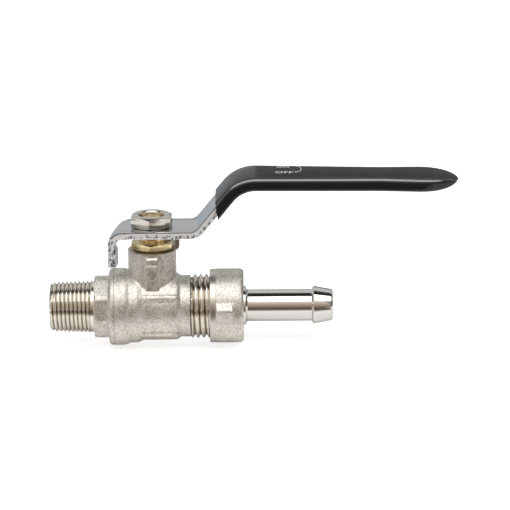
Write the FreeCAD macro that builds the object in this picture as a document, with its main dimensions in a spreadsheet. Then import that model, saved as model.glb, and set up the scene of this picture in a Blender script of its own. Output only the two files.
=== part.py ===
import FreeCAD, Part
import math
import os
import Sketcher

# Shut-off ball valve with a cranked lever, a male taper thread at its inlet and a hose tail in a union at its outlet.
# Millimetres. The origin is the middle of the inlet's end face, +X runs along the flow to the hose,
# +Z up along the stem. The lever is modelled open, along the pipe.

Vector = FreeCAD.Vector

sizes = {
    # inlet end connector, from its end face towards the ball
    "inlet_thread_len": 13.0,
    "inlet_thread_end_r": 8.13,
    "inlet_thread_pitch": 1.337,
    "inlet_thread_depth": 0.856,
    "inlet_lead": 1.2,
    "inlet_neck_len": 1.4,
    "inlet_neck_r": 8.6,
    "octagon_len": 4.9,
    "octagon_flats": 19.5,
    "octagon_corner_r": 10.25,
    "octagon_turn": 36.3,
    "flange_len": 1.8,
    "spigot_r": 9.4,
    # outside of the body, left and right of the stem's axis
    "body_back": 12.3,
    "bell_len": 3.2,
    "bell_r": 12.6,
    "bell_slope": 1.8,
    "step_len": 2.1,
    "step_r": 11.84,
    "step_slope": 2.3,
    "barrel_front": 7.3,
    "barrel_r": 11.0,
    "taper_len": 2.1,
    "union_neck_len": 2.8,
    "union_neck_r": 10.04,
    "cast_edge_r": 0.9,
    "seam_edge": 0.2,
    # union thread at the body's outlet
    "union_thread_len": 11.7,
    "union_thread_r": 10.48,
    "union_thread_pitch": 1.814,
    "union_thread_depth": 1.16,
    "union_lead": 0.9,
    "union_bore_r": 6.0,
    # cast detail of the body
    "rib_height": 0.45,
    "rib_len": 12.4,
    "rib_back": 4.0,
    "rib_width": 2.2,
    "rib_draft": 0.2,
    "upper_rib_deg": 29.9,
    "lower_rib_deg": -39.0,
    "pad_width": 4.4,
    "pad_low": 8.0,
    "pad_high": 18.2,
    "pad_height": 0.4,
    "pad_rim": 0.7,
    "pad_sink": 0.22,
    # neck and stop lug
    "neck_r": 7.85,
    "neck_top": 19.45,
    "neck_edge": 0.3,
    "lug_reach": 13.4,
    "lug_low": 16.2,
    "lug_high": 22.6,
    "lug_step": 0.35,
    "lug_edge_r": 0.8,
    # ball, seats and flow
    "bore_r": 4.75,
    "ball_r": 8.0,
    "cavity_gap": 0.55,
    "seat_face": 4.6,
    "seat_len": 2.8,
    "seat_outer_r": 7.5,
    "seat_bore_r": 4.9,
    "seat_gap": 0.04,
    "slot_width": 3.2,
    "slot_floor": 5.8,
    # stem and its packing
    "stem_r": 4.0,
    "collar_r": 4.5,
    "collar_len": 1.6,
    "collar_lift": 0.3,
    "tongue_width": 3.0,
    "tongue_reach": 4.4,
    "tongue_gap": 0.15,
    "washer_len": 0.5,
    "packing_floor": 13.2,
    "packing_bore_r": 6.0,
    "packing_len": 1.5,
    "stem_flats": 5.4,
    "stem_top": 30.1,
    "stem_edge": 0.6,
    # gland nut
    "gland_shank_len": 2.6,
    "gland_hex_len": 2.1,
    "gland_flats": 13.0,
    # fits
    "fit": 0.05,
    "run_gap": 0.03,
    # lever plate
    "plate_thick": 2.5,
    "plate_low": 24.7,
    "plate_half": 8.75,
    "tail_reach": 14.0,
    "tail_low": 15.6,
    "tail_bend_r": 4.4,
    "tail_inner_r": 2.2,
    "finger_edge": -4.7,
    "shoulder_in": 5.8,
    "waist_in": 3.6,
    "waist_y": 4.2,
    "nip_in": 3.0,
    "nip_y": 0.9,
    "root_in": 0.8,
    "crank_x": 15.2,
    "crank_len": 21.8,
    "crank_deg": 50.9,
    "crank_low_r": 6.0,
    "crank_top_r": 3.5,
    "elbow_low_r": 10.0,
    "elbow_top_r": 12.5,
    "handle_len": 69.2,
    "handle_deg": -0.8,
    "flare_len": 8.4,
    "waist_back": 24.15,
    "waist_half": 7.15,
    "swell_back": 11.15,
    "swell_half": 8.0,
    "handle_half": 8.2,
    "tab_width": 6.4,
    "tab_bend_r": 3.0,
    "tab_low": 15.8,
    "tab_corner_r": 3.0,
    "stop_gap": 0.12,
    # lever grip
    "grip_skin": 1.0,
    "grip_start": 21.8,
    "grip_lean": 1.05,
    "grip_edge_r": 0.9,
    # lever nut
    "lever_nut_len": 3.9,
    "lever_nut_flats": 13.0,
    "lever_nut_sink_r": 4.4,
    "lever_nut_turn": -3.0,
    # union nut
    "nut_len": 11.0,
    "nut_r": 12.1,
    "nut_wall": 2.15,
    "nut_thread_gap": 0.12,
    "nut_edge_r": 1.2,
    "nut_rim_len": 0.8,
    "nut_rim_step": 0.12,
    "nut_lug_start": 2.1,
    "nut_lug_len": 5.5,
    "nut_lug_height": 1.3,
    "nut_lug_deg": 5.6,
    "nut_lug_half": 3.0,
    # gasket and hose tail
    "gasket_len": 1.5,
    "gasket_r": 9.0,
    "tail_flange_len": 2.0,
    "tail_flange_r": 9.2,
    "tail_collar_r": 6.34,
    "tail_collar_len": 1.0,
    "tail_bore_r": 3.75,
    "tube_r": 5.2,
    "tube_len": 21.2,
    "barb_r": 6.15,
    "barb_rise": 0.5,
    "barb_len": 6.9,
    "barb_nose_len": 1.1,
    "barb_nose_r": 5.3,
    "barb_tip_r": 4.5,
}

doc = FreeCAD.newDocument("ShutOffValve")
sheet = doc.addObject("Spreadsheet::Sheet", "Sizes")
for row, (alias, value) in enumerate(sizes.items(), start=1):
    sheet.set("A%d" % row, alias)
    sheet.set("B%d" % row, str(value))
    sheet.setAlias("B%d" % row, alias)
doc.recompute()


def ex(text):
    """Writes an expression: each word that names a size becomes a reference to its cell."""
    words = text.replace("(", " ( ").replace(")", " ) ").split()
    named = " ".join("Sizes." + word if word in sizes else word for word in words)
    for function in ("cos", "sin", "tan"):
        named = named.replace(function + " (", function + "(")
    return named


def number(text):
    """The value that an expression has now."""
    value = sheet.evalExpression(ex(text))
    return float(getattr(value, "Value", value))


def bind(thing, **properties):
    """Binds properties of an object to expressions; a double underscore stands for a dot."""
    for name, text in properties.items():
        thing.setExpression(name.replace("__", "."), ex(str(text)))


def origin_plane(body, role):
    return [feature for feature in body.Origin.OriginFeatures if feature.Role == role][0]


# Derived places along the pipe, as expressions. Names ending in _x are measured from the inlet's end face.
stem_x = "( inlet_thread_len + inlet_neck_len + octagon_len + flange_len + body_back )"
octagon_x = "( inlet_thread_len + inlet_neck_len )"
flange_x = "( inlet_thread_len + inlet_neck_len + octagon_len )"
body_x = "( inlet_thread_len + inlet_neck_len + octagon_len + flange_len )"
seat_left_x = "( %s - seat_face - seat_len )" % stem_x
seat_right_x = "( %s + seat_face )" % stem_x
taper_x = "( %s + barrel_front )" % stem_x
union_neck_x = "( %s + barrel_front + taper_len )" % stem_x
union_thread_x = "( %s + barrel_front + taper_len + union_neck_len )" % stem_x
union_end_x = "( %s + union_thread_len )" % union_thread_x
tail_x = "( %s + gasket_len )" % union_end_x
tail_shoulder_x = "( %s + tail_flange_len )" % tail_x
nut_end_x = "( %s + fit + nut_wall )" % tail_shoulder_x
nut_x = "( %s - nut_len )" % nut_end_x
tube_x = "( %s + tail_collar_len )" % nut_end_x
barb_x = "( %s + tube_len )" % tube_x
tail_end_x = "( %s + barb_len )" % barb_x

# Derived heights along the stem.
cavity_r = "( ball_r + cavity_gap )"
collar_low = "( ball_r + collar_lift )"
collar_high = "( ball_r + collar_lift + collar_len )"
pocket_high = "( %s + run_gap + washer_len )" % collar_high
packing_high = "( packing_floor + 3 * packing_len )"
gland_hex_low = "( %s + gland_shank_len )" % packing_high
plate_high = "( plate_low + plate_thick )"


def draw(sketch, corners):
    """Draws a closed outline through corners (x, y) or (x, y, rounding radius), all bound to expressions."""
    count = len(corners)
    points = [Vector(number(corner[0]), number(corner[1]), 0) for corner in corners]
    radii = [number(corner[2]) if len(corner) > 2 else 0 for corner in corners]
    starts = []
    ends = []
    arcs = []
    for i in range(count):
        back = (points[i - 1] - points[i]).normalize()
        ahead = (points[(i + 1) % count] - points[i]).normalize()
        if radii[i]:
            half = back.getAngle(ahead) / 2
            touch = radii[i] / math.tan(half)
            centre = points[i] + (back + ahead).normalize() * (radii[i] / math.sin(half))
            ends.append(points[i] + back * touch)
            starts.append(points[i] + ahead * touch)
            left_turn = ahead.cross(back).z > 0
            first, last = (ends[i], starts[i]) if left_turn else (starts[i], ends[i])
            begin = math.atan2(first.y - centre.y, first.x - centre.x)
            sweep = (math.atan2(last.y - centre.y, last.x - centre.x) - begin) % (2 * math.pi)
            circle = Part.Circle(centre, Vector(0, 0, 1), radii[i])
            arcs.append((Part.ArcOfCircle(circle, begin, begin + sweep), 1 if left_turn else 2))
        else:
            ends.append(points[i])
            starts.append(points[i])
            arcs.append(None)
    lines = []
    for i in range(count):
        line = Part.LineSegment(starts[i], ends[(i + 1) % count])
        lines.append(sketch.addGeometry(line, False))
    rules = []
    driven = []

    def drive(kind, places, value, text):
        driven.append((len(rules), text))
        rules.append(Sketcher.Constraint(kind, *places, value))

    for i in range(count):
        before = lines[i - 1]
        after = lines[i]
        if arcs[i]:
            arc = sketch.addGeometry(arcs[i][0], False)
            first = arcs[i][1]
            corner = sketch.addGeometry(Part.Point(points[i]), True)
            rules.append(Sketcher.Constraint("Tangent", before, 2, arc, first))
            rules.append(Sketcher.Constraint("Tangent", arc, 3 - first, after, 1))
            rules.append(Sketcher.Constraint("PointOnObject", corner, 1, before))
            rules.append(Sketcher.Constraint("PointOnObject", corner, 1, after))
            drive("Radius", (arc,), radii[i], corners[i][2])
        else:
            corner = after
            rules.append(Sketcher.Constraint("Coincident", before, 2, after, 1))
        drive("DistanceX", (-1, 1, corner, 1), points[i].x, corners[i][0])
        drive("DistanceY", (-1, 1, corner, 1), points[i].y, corners[i][1])
    sketch.addConstraint(rules)
    for place, text in driven:
        sketch.setExpression("Constraints[%d]" % place, ex(text))


def turned(name, axis, corners):
    """A turned piece: an outline of (along X, radius) about X, or of (radius, height) about the stem's axis."""
    body = doc.addObject("PartDesign::Body", name)
    sketch = body.newObject("Sketcher::SketchObject", name + "_outline")
    sketch.AttachmentSupport = [(origin_plane(body, "XZ_Plane"), "")]
    sketch.MapMode = "FlatFace"
    draw(sketch, corners)
    turn = body.newObject("PartDesign::Revolution", name + "_turn")
    turn.Profile = (sketch, [""])
    turn.ReferenceAxis = (sketch, ["H_Axis" if axis == "pipe" else "V_Axis"])
    turn.Angle = 360
    if axis == "stem":
        bind(body, Placement__Base__x=stem_x)
    return body


def slab(name, plane, corners, start, end):
    """A plate cut to an outline. Plane XY stands up along Z, XZ along Y and YZ along X, from start to end."""
    sketch = doc.addObject("Sketcher::SketchObject", name + "_outline")
    turns = {
        "XY": FreeCAD.Rotation(),
        "XZ": FreeCAD.Rotation(Vector(1, 0, 0), 90),
        "YZ": FreeCAD.Rotation(Vector(1, 1, 1), 120),
    }
    sketch.Placement = FreeCAD.Placement(Vector(), turns[plane])
    draw(sketch, corners)
    plate = doc.addObject("Part::Extrusion", name)
    plate.Base = sketch
    plate.DirMode = "Custom"
    plate.Dir = {"XY": Vector(0, 0, 1), "XZ": Vector(0, 1, 0), "YZ": Vector(1, 0, 0)}[plane]
    plate.Solid = True
    bind(plate, LengthFwd=end, LengthRev="0 - ( %s )" % start)
    return plate


def cylinder(name, radius, height, x="0", y="0", z="0", along="Z"):
    piece = doc.addObject("Part::Cylinder", name)
    if along == "X":
        piece.Placement = FreeCAD.Placement(Vector(), FreeCAD.Rotation(Vector(0, 1, 0), 90))
    bind(piece, Radius=radius, Height=height)
    bind(piece, Placement__Base__x=x, Placement__Base__y=y, Placement__Base__z=z)
    return piece


def box(name, x, y, z):
    """A block between pairs of expressions (low, high) along each axis."""
    piece = doc.addObject("Part::Box", name)
    bind(piece, Length="( %s ) - ( %s )" % (x[1], x[0]), Width="( %s ) - ( %s )" % (y[1], y[0]))
    bind(piece, Height="( %s ) - ( %s )" % (z[1], z[0]))
    bind(piece, Placement__Base__x=x[0], Placement__Base__y=y[0], Placement__Base__z=z[0])
    return piece


def join(name, pieces):
    whole = doc.addObject("Part::MultiFuse", name)
    whole.Shapes = pieces
    whole.Refine = True
    return whole


def overlap(name, pieces):
    shared = doc.addObject("Part::MultiCommon", name)
    shared.Shapes = pieces
    return shared


def cut(name, base, tool):
    rest = doc.addObject("Part::Cut", name)
    rest.Base = base
    rest.Tool = tool
    return rest


def hexagon(name, flats, height, x, z, turn):
    piece = doc.addObject("Part::Prism", name)
    piece.Polygon = 6
    bind(piece, Circumradius="%s / 2 / cos ( 30 deg )" % flats, Height=height)
    bind(piece, Placement__Base__x=x, Placement__Base__z=z)
    piece.Placement.Rotation = FreeCAD.Rotation(Vector(0, 0, 1), 30 + number(turn))
    return piece


def thread_cutter(name, crest_r, depth, pitch, start, length, taper_deg):
    """The helical groove of a right-hand male thread about X, a little wider than the thread is deep."""
    spine = doc.addObject("Part::Helix", name + "_spine")
    spine.Angle = taper_deg
    spine.SegmentLength = 1
    bind(spine, Pitch=pitch, Height=length, Radius="%s - %s" % (crest_r, depth))
    root = "0.07 * %s" % pitch
    above = "0.2"
    mouth = "( 0.43 * %s + 0.36 * %s * %s / %s )" % (pitch, pitch, above, depth)
    floor = "( %s - %s )" % (crest_r, depth)
    ridge = "( %s + %s )" % (crest_r, above)
    profile = doc.addObject("Sketcher::SketchObject", name + "_profile")
    profile.Placement = FreeCAD.Placement(Vector(), FreeCAD.Rotation(Vector(1, 0, 0), 90))
    draw(profile, [(floor, "0 - " + root), (ridge, "0 - " + mouth), (ridge, mouth), (floor, root)])
    groove = doc.addObject("Part::Sweep", name)
    groove.Sections = [profile]
    groove.Spine = (spine, [])
    groove.Solid = True
    groove.Frenet = True
    groove.Placement = FreeCAD.Placement(Vector(), FreeCAD.Rotation(Vector(0, 1, 0), 90))
    bind(groove, Placement__Base__x=start)
    return groove


nodes = []


def finish(name, piece):
    """Names a finished piece as one node."""
    piece.Label = name
    nodes.append(piece)
    return piece


def make_body():
    x = stem_x
    shell = turned("body_outside", "pipe", [
        (body_x, "0"),
        (body_x, "bell_r - seam_edge"),
        ("%s + seam_edge" % body_x, "bell_r"),
        ("%s + bell_len" % body_x, "bell_r", "cast_edge_r"),
        ("%s + bell_len + bell_slope" % body_x, "step_r", "cast_edge_r"),
        ("%s + bell_len + bell_slope + step_len" % body_x, "step_r", "cast_edge_r"),
        ("%s + bell_len + bell_slope + step_len + step_slope" % body_x, "barrel_r", "cast_edge_r"),
        (taper_x, "barrel_r", "cast_edge_r"),
        (union_neck_x, "union_neck_r", "cast_edge_r"),
        (union_thread_x, "union_neck_r"),
        (union_thread_x, "union_thread_r"),
        ("%s - union_lead" % union_end_x, "union_thread_r"),
        (union_end_x, "union_thread_r - union_thread_depth"),
        (union_end_x, "0"),
    ])
    neck = turned("body_neck", "stem", [
        ("0", "0"), ("neck_r", "0"), ("neck_r", "neck_top - neck_edge"),
        ("neck_r - neck_edge", "neck_top"), ("0", "neck_top"),
    ])
    details = [shell, neck]
    for side in ("front", "back"):
        for level in ("upper", "lower"):
            rib = slab("rib_%s_%s" % (side, level), "YZ", [
                ("barrel_r - 1", "0 - rib_width / 2"),
                ("barrel_r + rib_height", "0 - rib_width / 2 + rib_draft"),
                ("barrel_r + rib_height", "rib_width / 2 - rib_draft"),
                ("barrel_r - 1", "rib_width / 2"),
            ], "0", "rib_len")
            tilt = number(level + "_rib_deg")
            roll = FreeCAD.Rotation(Vector(1, 0, 0), 180 - tilt if side == "front" else tilt)
            rib.Placement = FreeCAD.Placement(Vector(), roll)
            bind(rib, Placement__Base__x="%s - rib_back" % x)
            details.append(rib)
    lug = slab("stop_lug", "YZ", [
        ("neck_r - 1.5", "lug_low - 3"),
        ("lug_reach", "lug_low", "lug_edge_r"),
        ("lug_reach", "lug_high", "lug_edge_r"),
        ("neck_r + lug_step", "lug_high", "lug_edge_r"),
        ("neck_r + lug_step", "neck_top - neck_edge"),
        ("neck_r - 1.5", "neck_top - neck_edge"),
    ], "%s + finger_edge + stop_gap" % x, "%s + plate_half - tab_width - stop_gap" % x)
    details.append(lug)
    pad = slab("neck_pad", "XZ", [
        ("%s - pad_width / 2" % x, "pad_low", "pad_width / 2.1"),
        ("%s + pad_width / 2" % x, "pad_low", "pad_width / 2.1"),
        ("%s + pad_width / 2" % x, "pad_high", "pad_width / 4"),
        ("%s - pad_width / 2" % x, "pad_high", "pad_width / 4"),
    ], "0 - neck_r - pad_height", "0 - neck_r + 1.5")
    details.append(pad)
    solid = join("body_solid", details)

    flow = turned("body_flow", "pipe", [
        ("%s - 1" % body_x, "0"),
        ("%s - 1" % body_x, "spigot_r + fit"),
        ("%s - seat_face + 2 * fit" % x, "spigot_r + fit"),
        ("%s - seat_face + 2 * fit" % x, cavity_r),
        (seat_right_x, cavity_r),
        (seat_right_x, "seat_outer_r + seat_gap"),
        ("%s + seat_len" % seat_right_x, "seat_outer_r + seat_gap"),
        ("%s + seat_len" % seat_right_x, "bore_r"),
        (union_neck_x, "bore_r"),
        (union_thread_x, "union_bore_r"),
        ("%s + 1" % union_end_x, "union_bore_r"),
        ("%s + 1" % union_end_x, "0"),
    ])
    passage = turned("body_passage", "stem", [
        ("0", "0"),
        ("collar_r + 3 * fit", "0"),
        ("collar_r + 3 * fit", pocket_high),
        ("stem_r + 2 * fit", pocket_high),
        ("stem_r + 2 * fit", "packing_floor"),
        ("packing_bore_r", "packing_floor"),
        ("packing_bore_r", "neck_top - neck_edge"),
        ("packing_bore_r + neck_edge + 1", "neck_top + 1"),
        ("0", "neck_top + 1"),
    ])
    groove = thread_cutter("union_thread", "union_thread_r", "union_thread_depth", "union_thread_pitch",
                           "%s + union_thread_pitch / 2" % union_thread_x, "union_thread_len", 0)
    hollow = cut("body_bored", solid, flow)
    hollow = cut("body_necked", hollow, passage)
    finish("valve_body", cut("body_threaded", hollow, groove))


def make_end_connector():
    outside = turned("connector_outside", "pipe", [
        ("0", "bore_r"),
        ("0", "inlet_thread_end_r - inlet_thread_depth"),
        ("inlet_lead", "inlet_thread_end_r + inlet_lead / 32"),
        ("inlet_thread_len", "inlet_thread_end_r + inlet_thread_len / 32"),
        ("inlet_thread_len", "inlet_neck_r"),
        ("%s + 0.3" % octagon_x, "inlet_neck_r"),
        ("%s + 0.3" % octagon_x, "bore_r"),
    ])
    prism = doc.addObject("Part::Prism", "connector_prism")
    prism.Polygon = 8
    turn = FreeCAD.Rotation(Vector(1, 0, 0), 22.5 + number("octagon_turn"))
    prism.Placement = FreeCAD.Placement(Vector(), turn.multiply(FreeCAD.Rotation(Vector(0, 1, 0), 90)))
    bind(prism, Circumradius="octagon_flats / 2 / cos ( 22.5 deg )", Height="octagon_len + 0.5")
    bind(prism, Placement__Base__x=octagon_x)
    cast_round = turned("connector_round", "pipe", [
        (octagon_x, "bore_r"),
        (octagon_x, "octagon_corner_r", "cast_edge_r"),
        ("%s + 0.5" % flange_x, "octagon_corner_r"),
        ("%s + 0.5" % flange_x, "bore_r"),
    ])
    octagon = overlap("connector_octagon", [prism, cast_round])
    flange = turned("connector_flange", "pipe", [
        (flange_x, "bore_r"),
        (flange_x, "bell_r", "cast_edge_r"),
        ("%s - seam_edge" % body_x, "bell_r"),
        (body_x, "bell_r - seam_edge"),
        (body_x, "spigot_r"),
        ("%s - seat_face" % stem_x, "spigot_r"),
        ("%s - seat_face" % stem_x, "seat_outer_r + seat_gap"),
        (seat_left_x, "seat_outer_r + seat_gap"),
        (seat_left_x, "bore_r"),
    ])
    groove = thread_cutter("inlet_thread", "inlet_thread_end_r", "inlet_thread_depth", "inlet_thread_pitch",
                           "0 - inlet_thread_pitch", "inlet_thread_len + inlet_thread_pitch / 2",
                           math.degrees(math.atan(1 / 32)))
    solid = join("connector_solid", [outside, octagon, flange])
    finish("end_connector", cut("connector_threaded", solid, groove))


def make_seats():
    """Two seat rings of the same outline, each hollowed to the ball."""
    for name, sign, face in (("seat_ring_inlet", "-", "%s - seat_face" % stem_x),
                             ("seat_ring_outlet", "+", seat_right_x)):
        far = "%s %s seat_len" % (face, sign)
        ring = turned(name + "_blank", "pipe", [
            (face, "seat_bore_r"), (face, "seat_outer_r"), (far, "seat_outer_r"), (far, "seat_bore_r"),
        ])
        clear = doc.addObject("Part::Sphere", name + "_clear")
        bind(clear, Radius="ball_r + seat_gap", Placement__Base__x=stem_x)
        finish(name, cut(name + "_cut", ring, clear))


def make_ball():
    sphere = doc.addObject("Part::Sphere", "ball_sphere")
    bind(sphere, Radius="ball_r", Placement__Base__x=stem_x)
    bore = cylinder("ball_bore", "bore_r", "2 * ball_r + 2", x="%s - ball_r - 1" % stem_x, along="X")
    slot = box("ball_slot", ("%s - slot_width / 2" % stem_x, "%s + slot_width / 2" % stem_x),
               ("0 - ball_r - 1", "ball_r + 1"), ("slot_floor", "ball_r + 1"))
    finish("ball", cut("ball_slotted", cut("ball_bored", sphere, bore), slot))


def make_stem():
    shaft = turned("stem_shaft", "stem", [
        ("0", collar_low), ("collar_r", collar_low), ("collar_r", collar_high), ("stem_r", collar_high),
        ("stem_r", "stem_top - stem_edge"), ("stem_r - stem_edge", "stem_top"), ("0", "stem_top"),
    ])
    tongue_round = cylinder("stem_tongue_round", "tongue_reach", "%s + 0.5 - slot_floor - tongue_gap" % collar_low,
                            x=stem_x, z="slot_floor + tongue_gap")
    tongue_flat = box("stem_tongue_flat", ("%s - tongue_width / 2" % stem_x, "%s + tongue_width / 2" % stem_x),
                      ("0 - collar_r", "collar_r"), ("slot_floor + tongue_gap", "%s + 0.5" % collar_low))
    tongue = overlap("stem_tongue", [tongue_round, tongue_flat])
    stem = join("stem_whole", [shaft, tongue])
    for side, low, high in (("left", "0 - stem_r - 1", "0 - stem_flats / 2"), ("right", "stem_flats / 2", "stem_r + 1")):
        flat = box("stem_flat_" + side, ("%s + %s" % (stem_x, low), "%s + %s" % (stem_x, high)),
                   ("0 - stem_r - 1", "stem_r + 1"), ("plate_low", "stem_top + 1"))
        stem = cut("stem_flatted_" + side, stem, flat)
    finish("stem", stem)


def make_stem_rings():
    """The thrust washer on the stem's collar, and the packing rings under the gland nut."""
    finish("stem_thrust_washer", turned("thrust_washer", "stem", [
        ("stem_r + 2 * fit", "%s - washer_len" % pocket_high), ("collar_r + fit", "%s - washer_len" % pocket_high),
        ("collar_r + fit", pocket_high), ("stem_r + 2 * fit", pocket_high),
    ]))
    for i, place in enumerate(("lower", "middle", "upper")):
        low = "packing_floor + %d * packing_len" % i
        high = "packing_floor + %d * packing_len" % (i + 1)
        finish("packing_ring_" + place, turned("packing_" + place, "stem", [
            ("stem_r + fit", low), ("packing_bore_r - fit", low), ("packing_bore_r - fit", high), ("stem_r + fit", high),
        ]))


def make_gland_nut():
    prism = hexagon("gland_prism", "gland_flats", "gland_hex_len", stem_x, gland_hex_low, "0")
    chamfered = turned("gland_round", "stem", [
        ("stem_r + 2 * fit", gland_hex_low),
        ("gland_flats / 2 + 0.2", gland_hex_low),
        ("gland_flats / 2 / cos ( 30 deg ) + 0.1", "%s + 0.35" % gland_hex_low),
        ("gland_flats / 2 / cos ( 30 deg ) + 0.1", "%s + gland_hex_len - 0.5" % gland_hex_low),
        ("gland_flats / 2 - 0.1", "%s + gland_hex_len" % gland_hex_low),
        ("stem_r + 2 * fit", "%s + gland_hex_len" % gland_hex_low),
    ])
    shank = turned("gland_shank", "stem", [
        ("stem_r + 2 * fit", packing_high), ("packing_bore_r - fit", packing_high),
        ("packing_bore_r - fit", "%s + 0.1" % gland_hex_low), ("stem_r + 2 * fit", "%s + 0.1" % gland_hex_low),
    ])
    finish("gland_nut", join("gland_whole", [overlap("gland_hex", [prism, chamfered]), shank]))


def bend_corner(point, first_deg, second_deg, side):
    """A corner of the lever's side outline: the plate's lower corner moved square to both runs by side."""
    mean = "( ( %s + %s ) / 2 * 1 deg )" % (first_deg, second_deg)
    half = "( ( %s - %s ) / 2 * 1 deg )" % (first_deg, second_deg)
    return ("%s - %s * sin %s / cos %s" % (point[0], side, mean, half),
            "%s + %s * cos %s / cos %s" % (point[1], side, mean, half))


crank_foot = ("( %s + crank_x )" % stem_x, "plate_low")
crank_head = ("( %s + crank_x + crank_len * cos ( crank_deg * 1 deg ) )" % stem_x,
              "( plate_low + crank_len * sin ( crank_deg * 1 deg ) )")
handle_end = ("( %s + handle_len * cos ( handle_deg * 1 deg ) )" % crank_head[0],
              "( %s + handle_len * sin ( handle_deg * 1 deg ) )" % crank_head[1])


def handle_outline(extra):
    """Plan of the handle from its front to its back edge, extra mm outside the plate, with a round end."""
    half = "( swell_half + %s )" % extra
    end = "( %s + %s )" % (handle_end[0], extra)
    front = [
        ("%s + flare_len" % crank_head[0], "0 - handle_half - %s" % extra, "150"),
        ("%s - waist_back" % handle_end[0], "0 - waist_half - %s" % extra, "60"),
        ("%s - swell_back" % handle_end[0], "0 - swell_half - %s" % extra, "20"),
        (end, "0 - " + half, half + " * 0.97"),
    ]
    return front + [(corner[0], corner[1].replace("0 - ", "0 + ").replace(" - ", " + "), corner[2])
                    for corner in reversed(front)]


def make_lever():
    x = stem_x
    tail_end = "%s - tail_reach" % x
    side = slab("lever_side", "XZ", [
        ("%s + plate_thick" % tail_end, "tail_low"),
        ("%s + plate_thick" % tail_end, "plate_low", "tail_inner_r"),
        (crank_foot[0], crank_foot[1], "crank_low_r"),
        (crank_head[0], crank_head[1], "elbow_low_r"),
        handle_end,
        bend_corner(handle_end, "handle_deg", "handle_deg", "plate_thick"),
        bend_corner(crank_head, "crank_deg", "handle_deg", "plate_thick") + ("elbow_top_r",),
        bend_corner(crank_foot, "0", "crank_deg", "plate_thick") + ("crank_top_r",),
        (tail_end, plate_high, "tail_bend_r"),
        (tail_end, "tail_low"),
    ], "0 - plate_half - 2", "plate_half + 2")
    plan = slab("lever_plan", "XY", [
        ("%s - 1" % tail_end, "0 - plate_half"),
        ("%s + crank_x + 8" % x, "0 - plate_half", "60"),
    ] + handle_outline("0") + [
        ("%s + crank_x + 8" % x, "plate_half", "60"),
        ("%s + shoulder_in" % tail_end, "plate_half", "1"),
        ("%s + waist_in" % tail_end, "waist_y", "3"),
        ("%s + nip_in" % tail_end, "nip_y", "3"),
        ("%s + root_in" % tail_end, "finger_edge + 0.4", "1.5"),
        ("%s - 1" % tail_end, "finger_edge"),
    ], "tail_low - 2", "%s + 20" % crank_head[1])
    plate = overlap("lever_plate", [side, plan])
    tab_side = slab("tab_side", "YZ", [
        ("plate_half - 3", "plate_low"),
        ("plate_half + tab_bend_r - 1 - plate_thick", "plate_low", "tab_bend_r - plate_thick"),
        ("plate_half + tab_bend_r - 1 - plate_thick", "tab_low"),
        ("plate_half + tab_bend_r - 1", "tab_low"),
        ("plate_half + tab_bend_r - 1", plate_high, "tab_bend_r"),
        ("plate_half - 3", plate_high),
    ], "%s - 5" % x, "%s + 15" % x)
    tab_face = slab("tab_face", "XZ", [
        ("%s + plate_half - tab_width" % x, "tab_low", "tab_corner_r - 1.5"),
        ("%s + plate_half" % x, "tab_low", "tab_corner_r"),
        ("%s + plate_half" % x, "%s + 1" % plate_high),
        ("%s + plate_half - tab_width" % x, "%s + 1" % plate_high),
    ], "0", "plate_half + 10")
    tab = overlap("lever_tab", [tab_side, tab_face])
    hole_round = cylinder("lever_hole_round", "stem_r + fit", "plate_thick + 2", x=x, z="plate_low - 1")
    hole_flat = box("lever_hole_flat", ("%s - stem_flats / 2 - fit" % x, "%s + stem_flats / 2 + fit" % x),
                    ("0 - stem_r - 1", "stem_r + 1"), ("plate_low - 1", "%s + 1" % plate_high))
    hole = overlap("lever_hole", [hole_round, hole_flat])
    # The finger is only as wide below the bend as its front part.
    behind_finger = box("lever_behind_finger", ("%s - 1" % tail_end, "%s - tail_reach / 2" % x),
                        ("finger_edge", "plate_half + 1"), ("tail_low - 1", "%s - tail_bend_r" % plate_high))
    lever = cut("lever_trimmed", join("lever_bent", [plate, tab]), behind_finger)
    lever = cut("lever_holed", lever, hole)
    finish("lever", lever)
    return lever


def make_grip(lever):
    low = "( 0 - grip_skin )"
    high = "( plate_thick + grip_skin )"
    # The vinyl begins at a nearly upright plane, where the handle was dipped.
    start_x = "( %s + grip_start )" % stem_x
    rise = "%s + ( grip_start - crank_x%s ) * tan ( crank_deg * 1 deg ) + %s / cos ( crank_deg * 1 deg )"
    start_low = (start_x, rise % ("plate_low", "", low))
    start_high = ("%s - grip_lean" % start_x, rise % ("plate_low", " - grip_lean", high))
    end = ("( %s + grip_skin )" % handle_end[0], handle_end[1])
    side = slab("grip_side", "XZ", [
        start_low,
        bend_corner(crank_head, "crank_deg", "handle_deg", low) + ("elbow_low_r - grip_skin",),
        bend_corner(end, "handle_deg", "handle_deg", low),
        bend_corner(end, "handle_deg", "handle_deg", high),
        bend_corner(crank_head, "crank_deg", "handle_deg", high) + ("elbow_top_r + grip_skin",),
        start_high,
    ], "0 - plate_half - 3", "plate_half + 3")
    plan = slab("grip_plan", "XY", [
        ("%s + crank_x" % stem_x, "0 - plate_half - grip_skin"),
        ("%s + crank_x + 8" % stem_x, "0 - plate_half - grip_skin", "60"),
    ] + handle_outline("grip_skin") + [
        ("%s + crank_x + 8" % stem_x, "plate_half + grip_skin", "60"),
        ("%s + crank_x" % stem_x, "plate_half + grip_skin"),
    ], "plate_low", "%s + 20" % crank_head[1])
    skin = overlap("grip_skin_solid", [side, plan])
    finish("lever_grip", cut("grip_hollowed", skin, lever))


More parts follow.
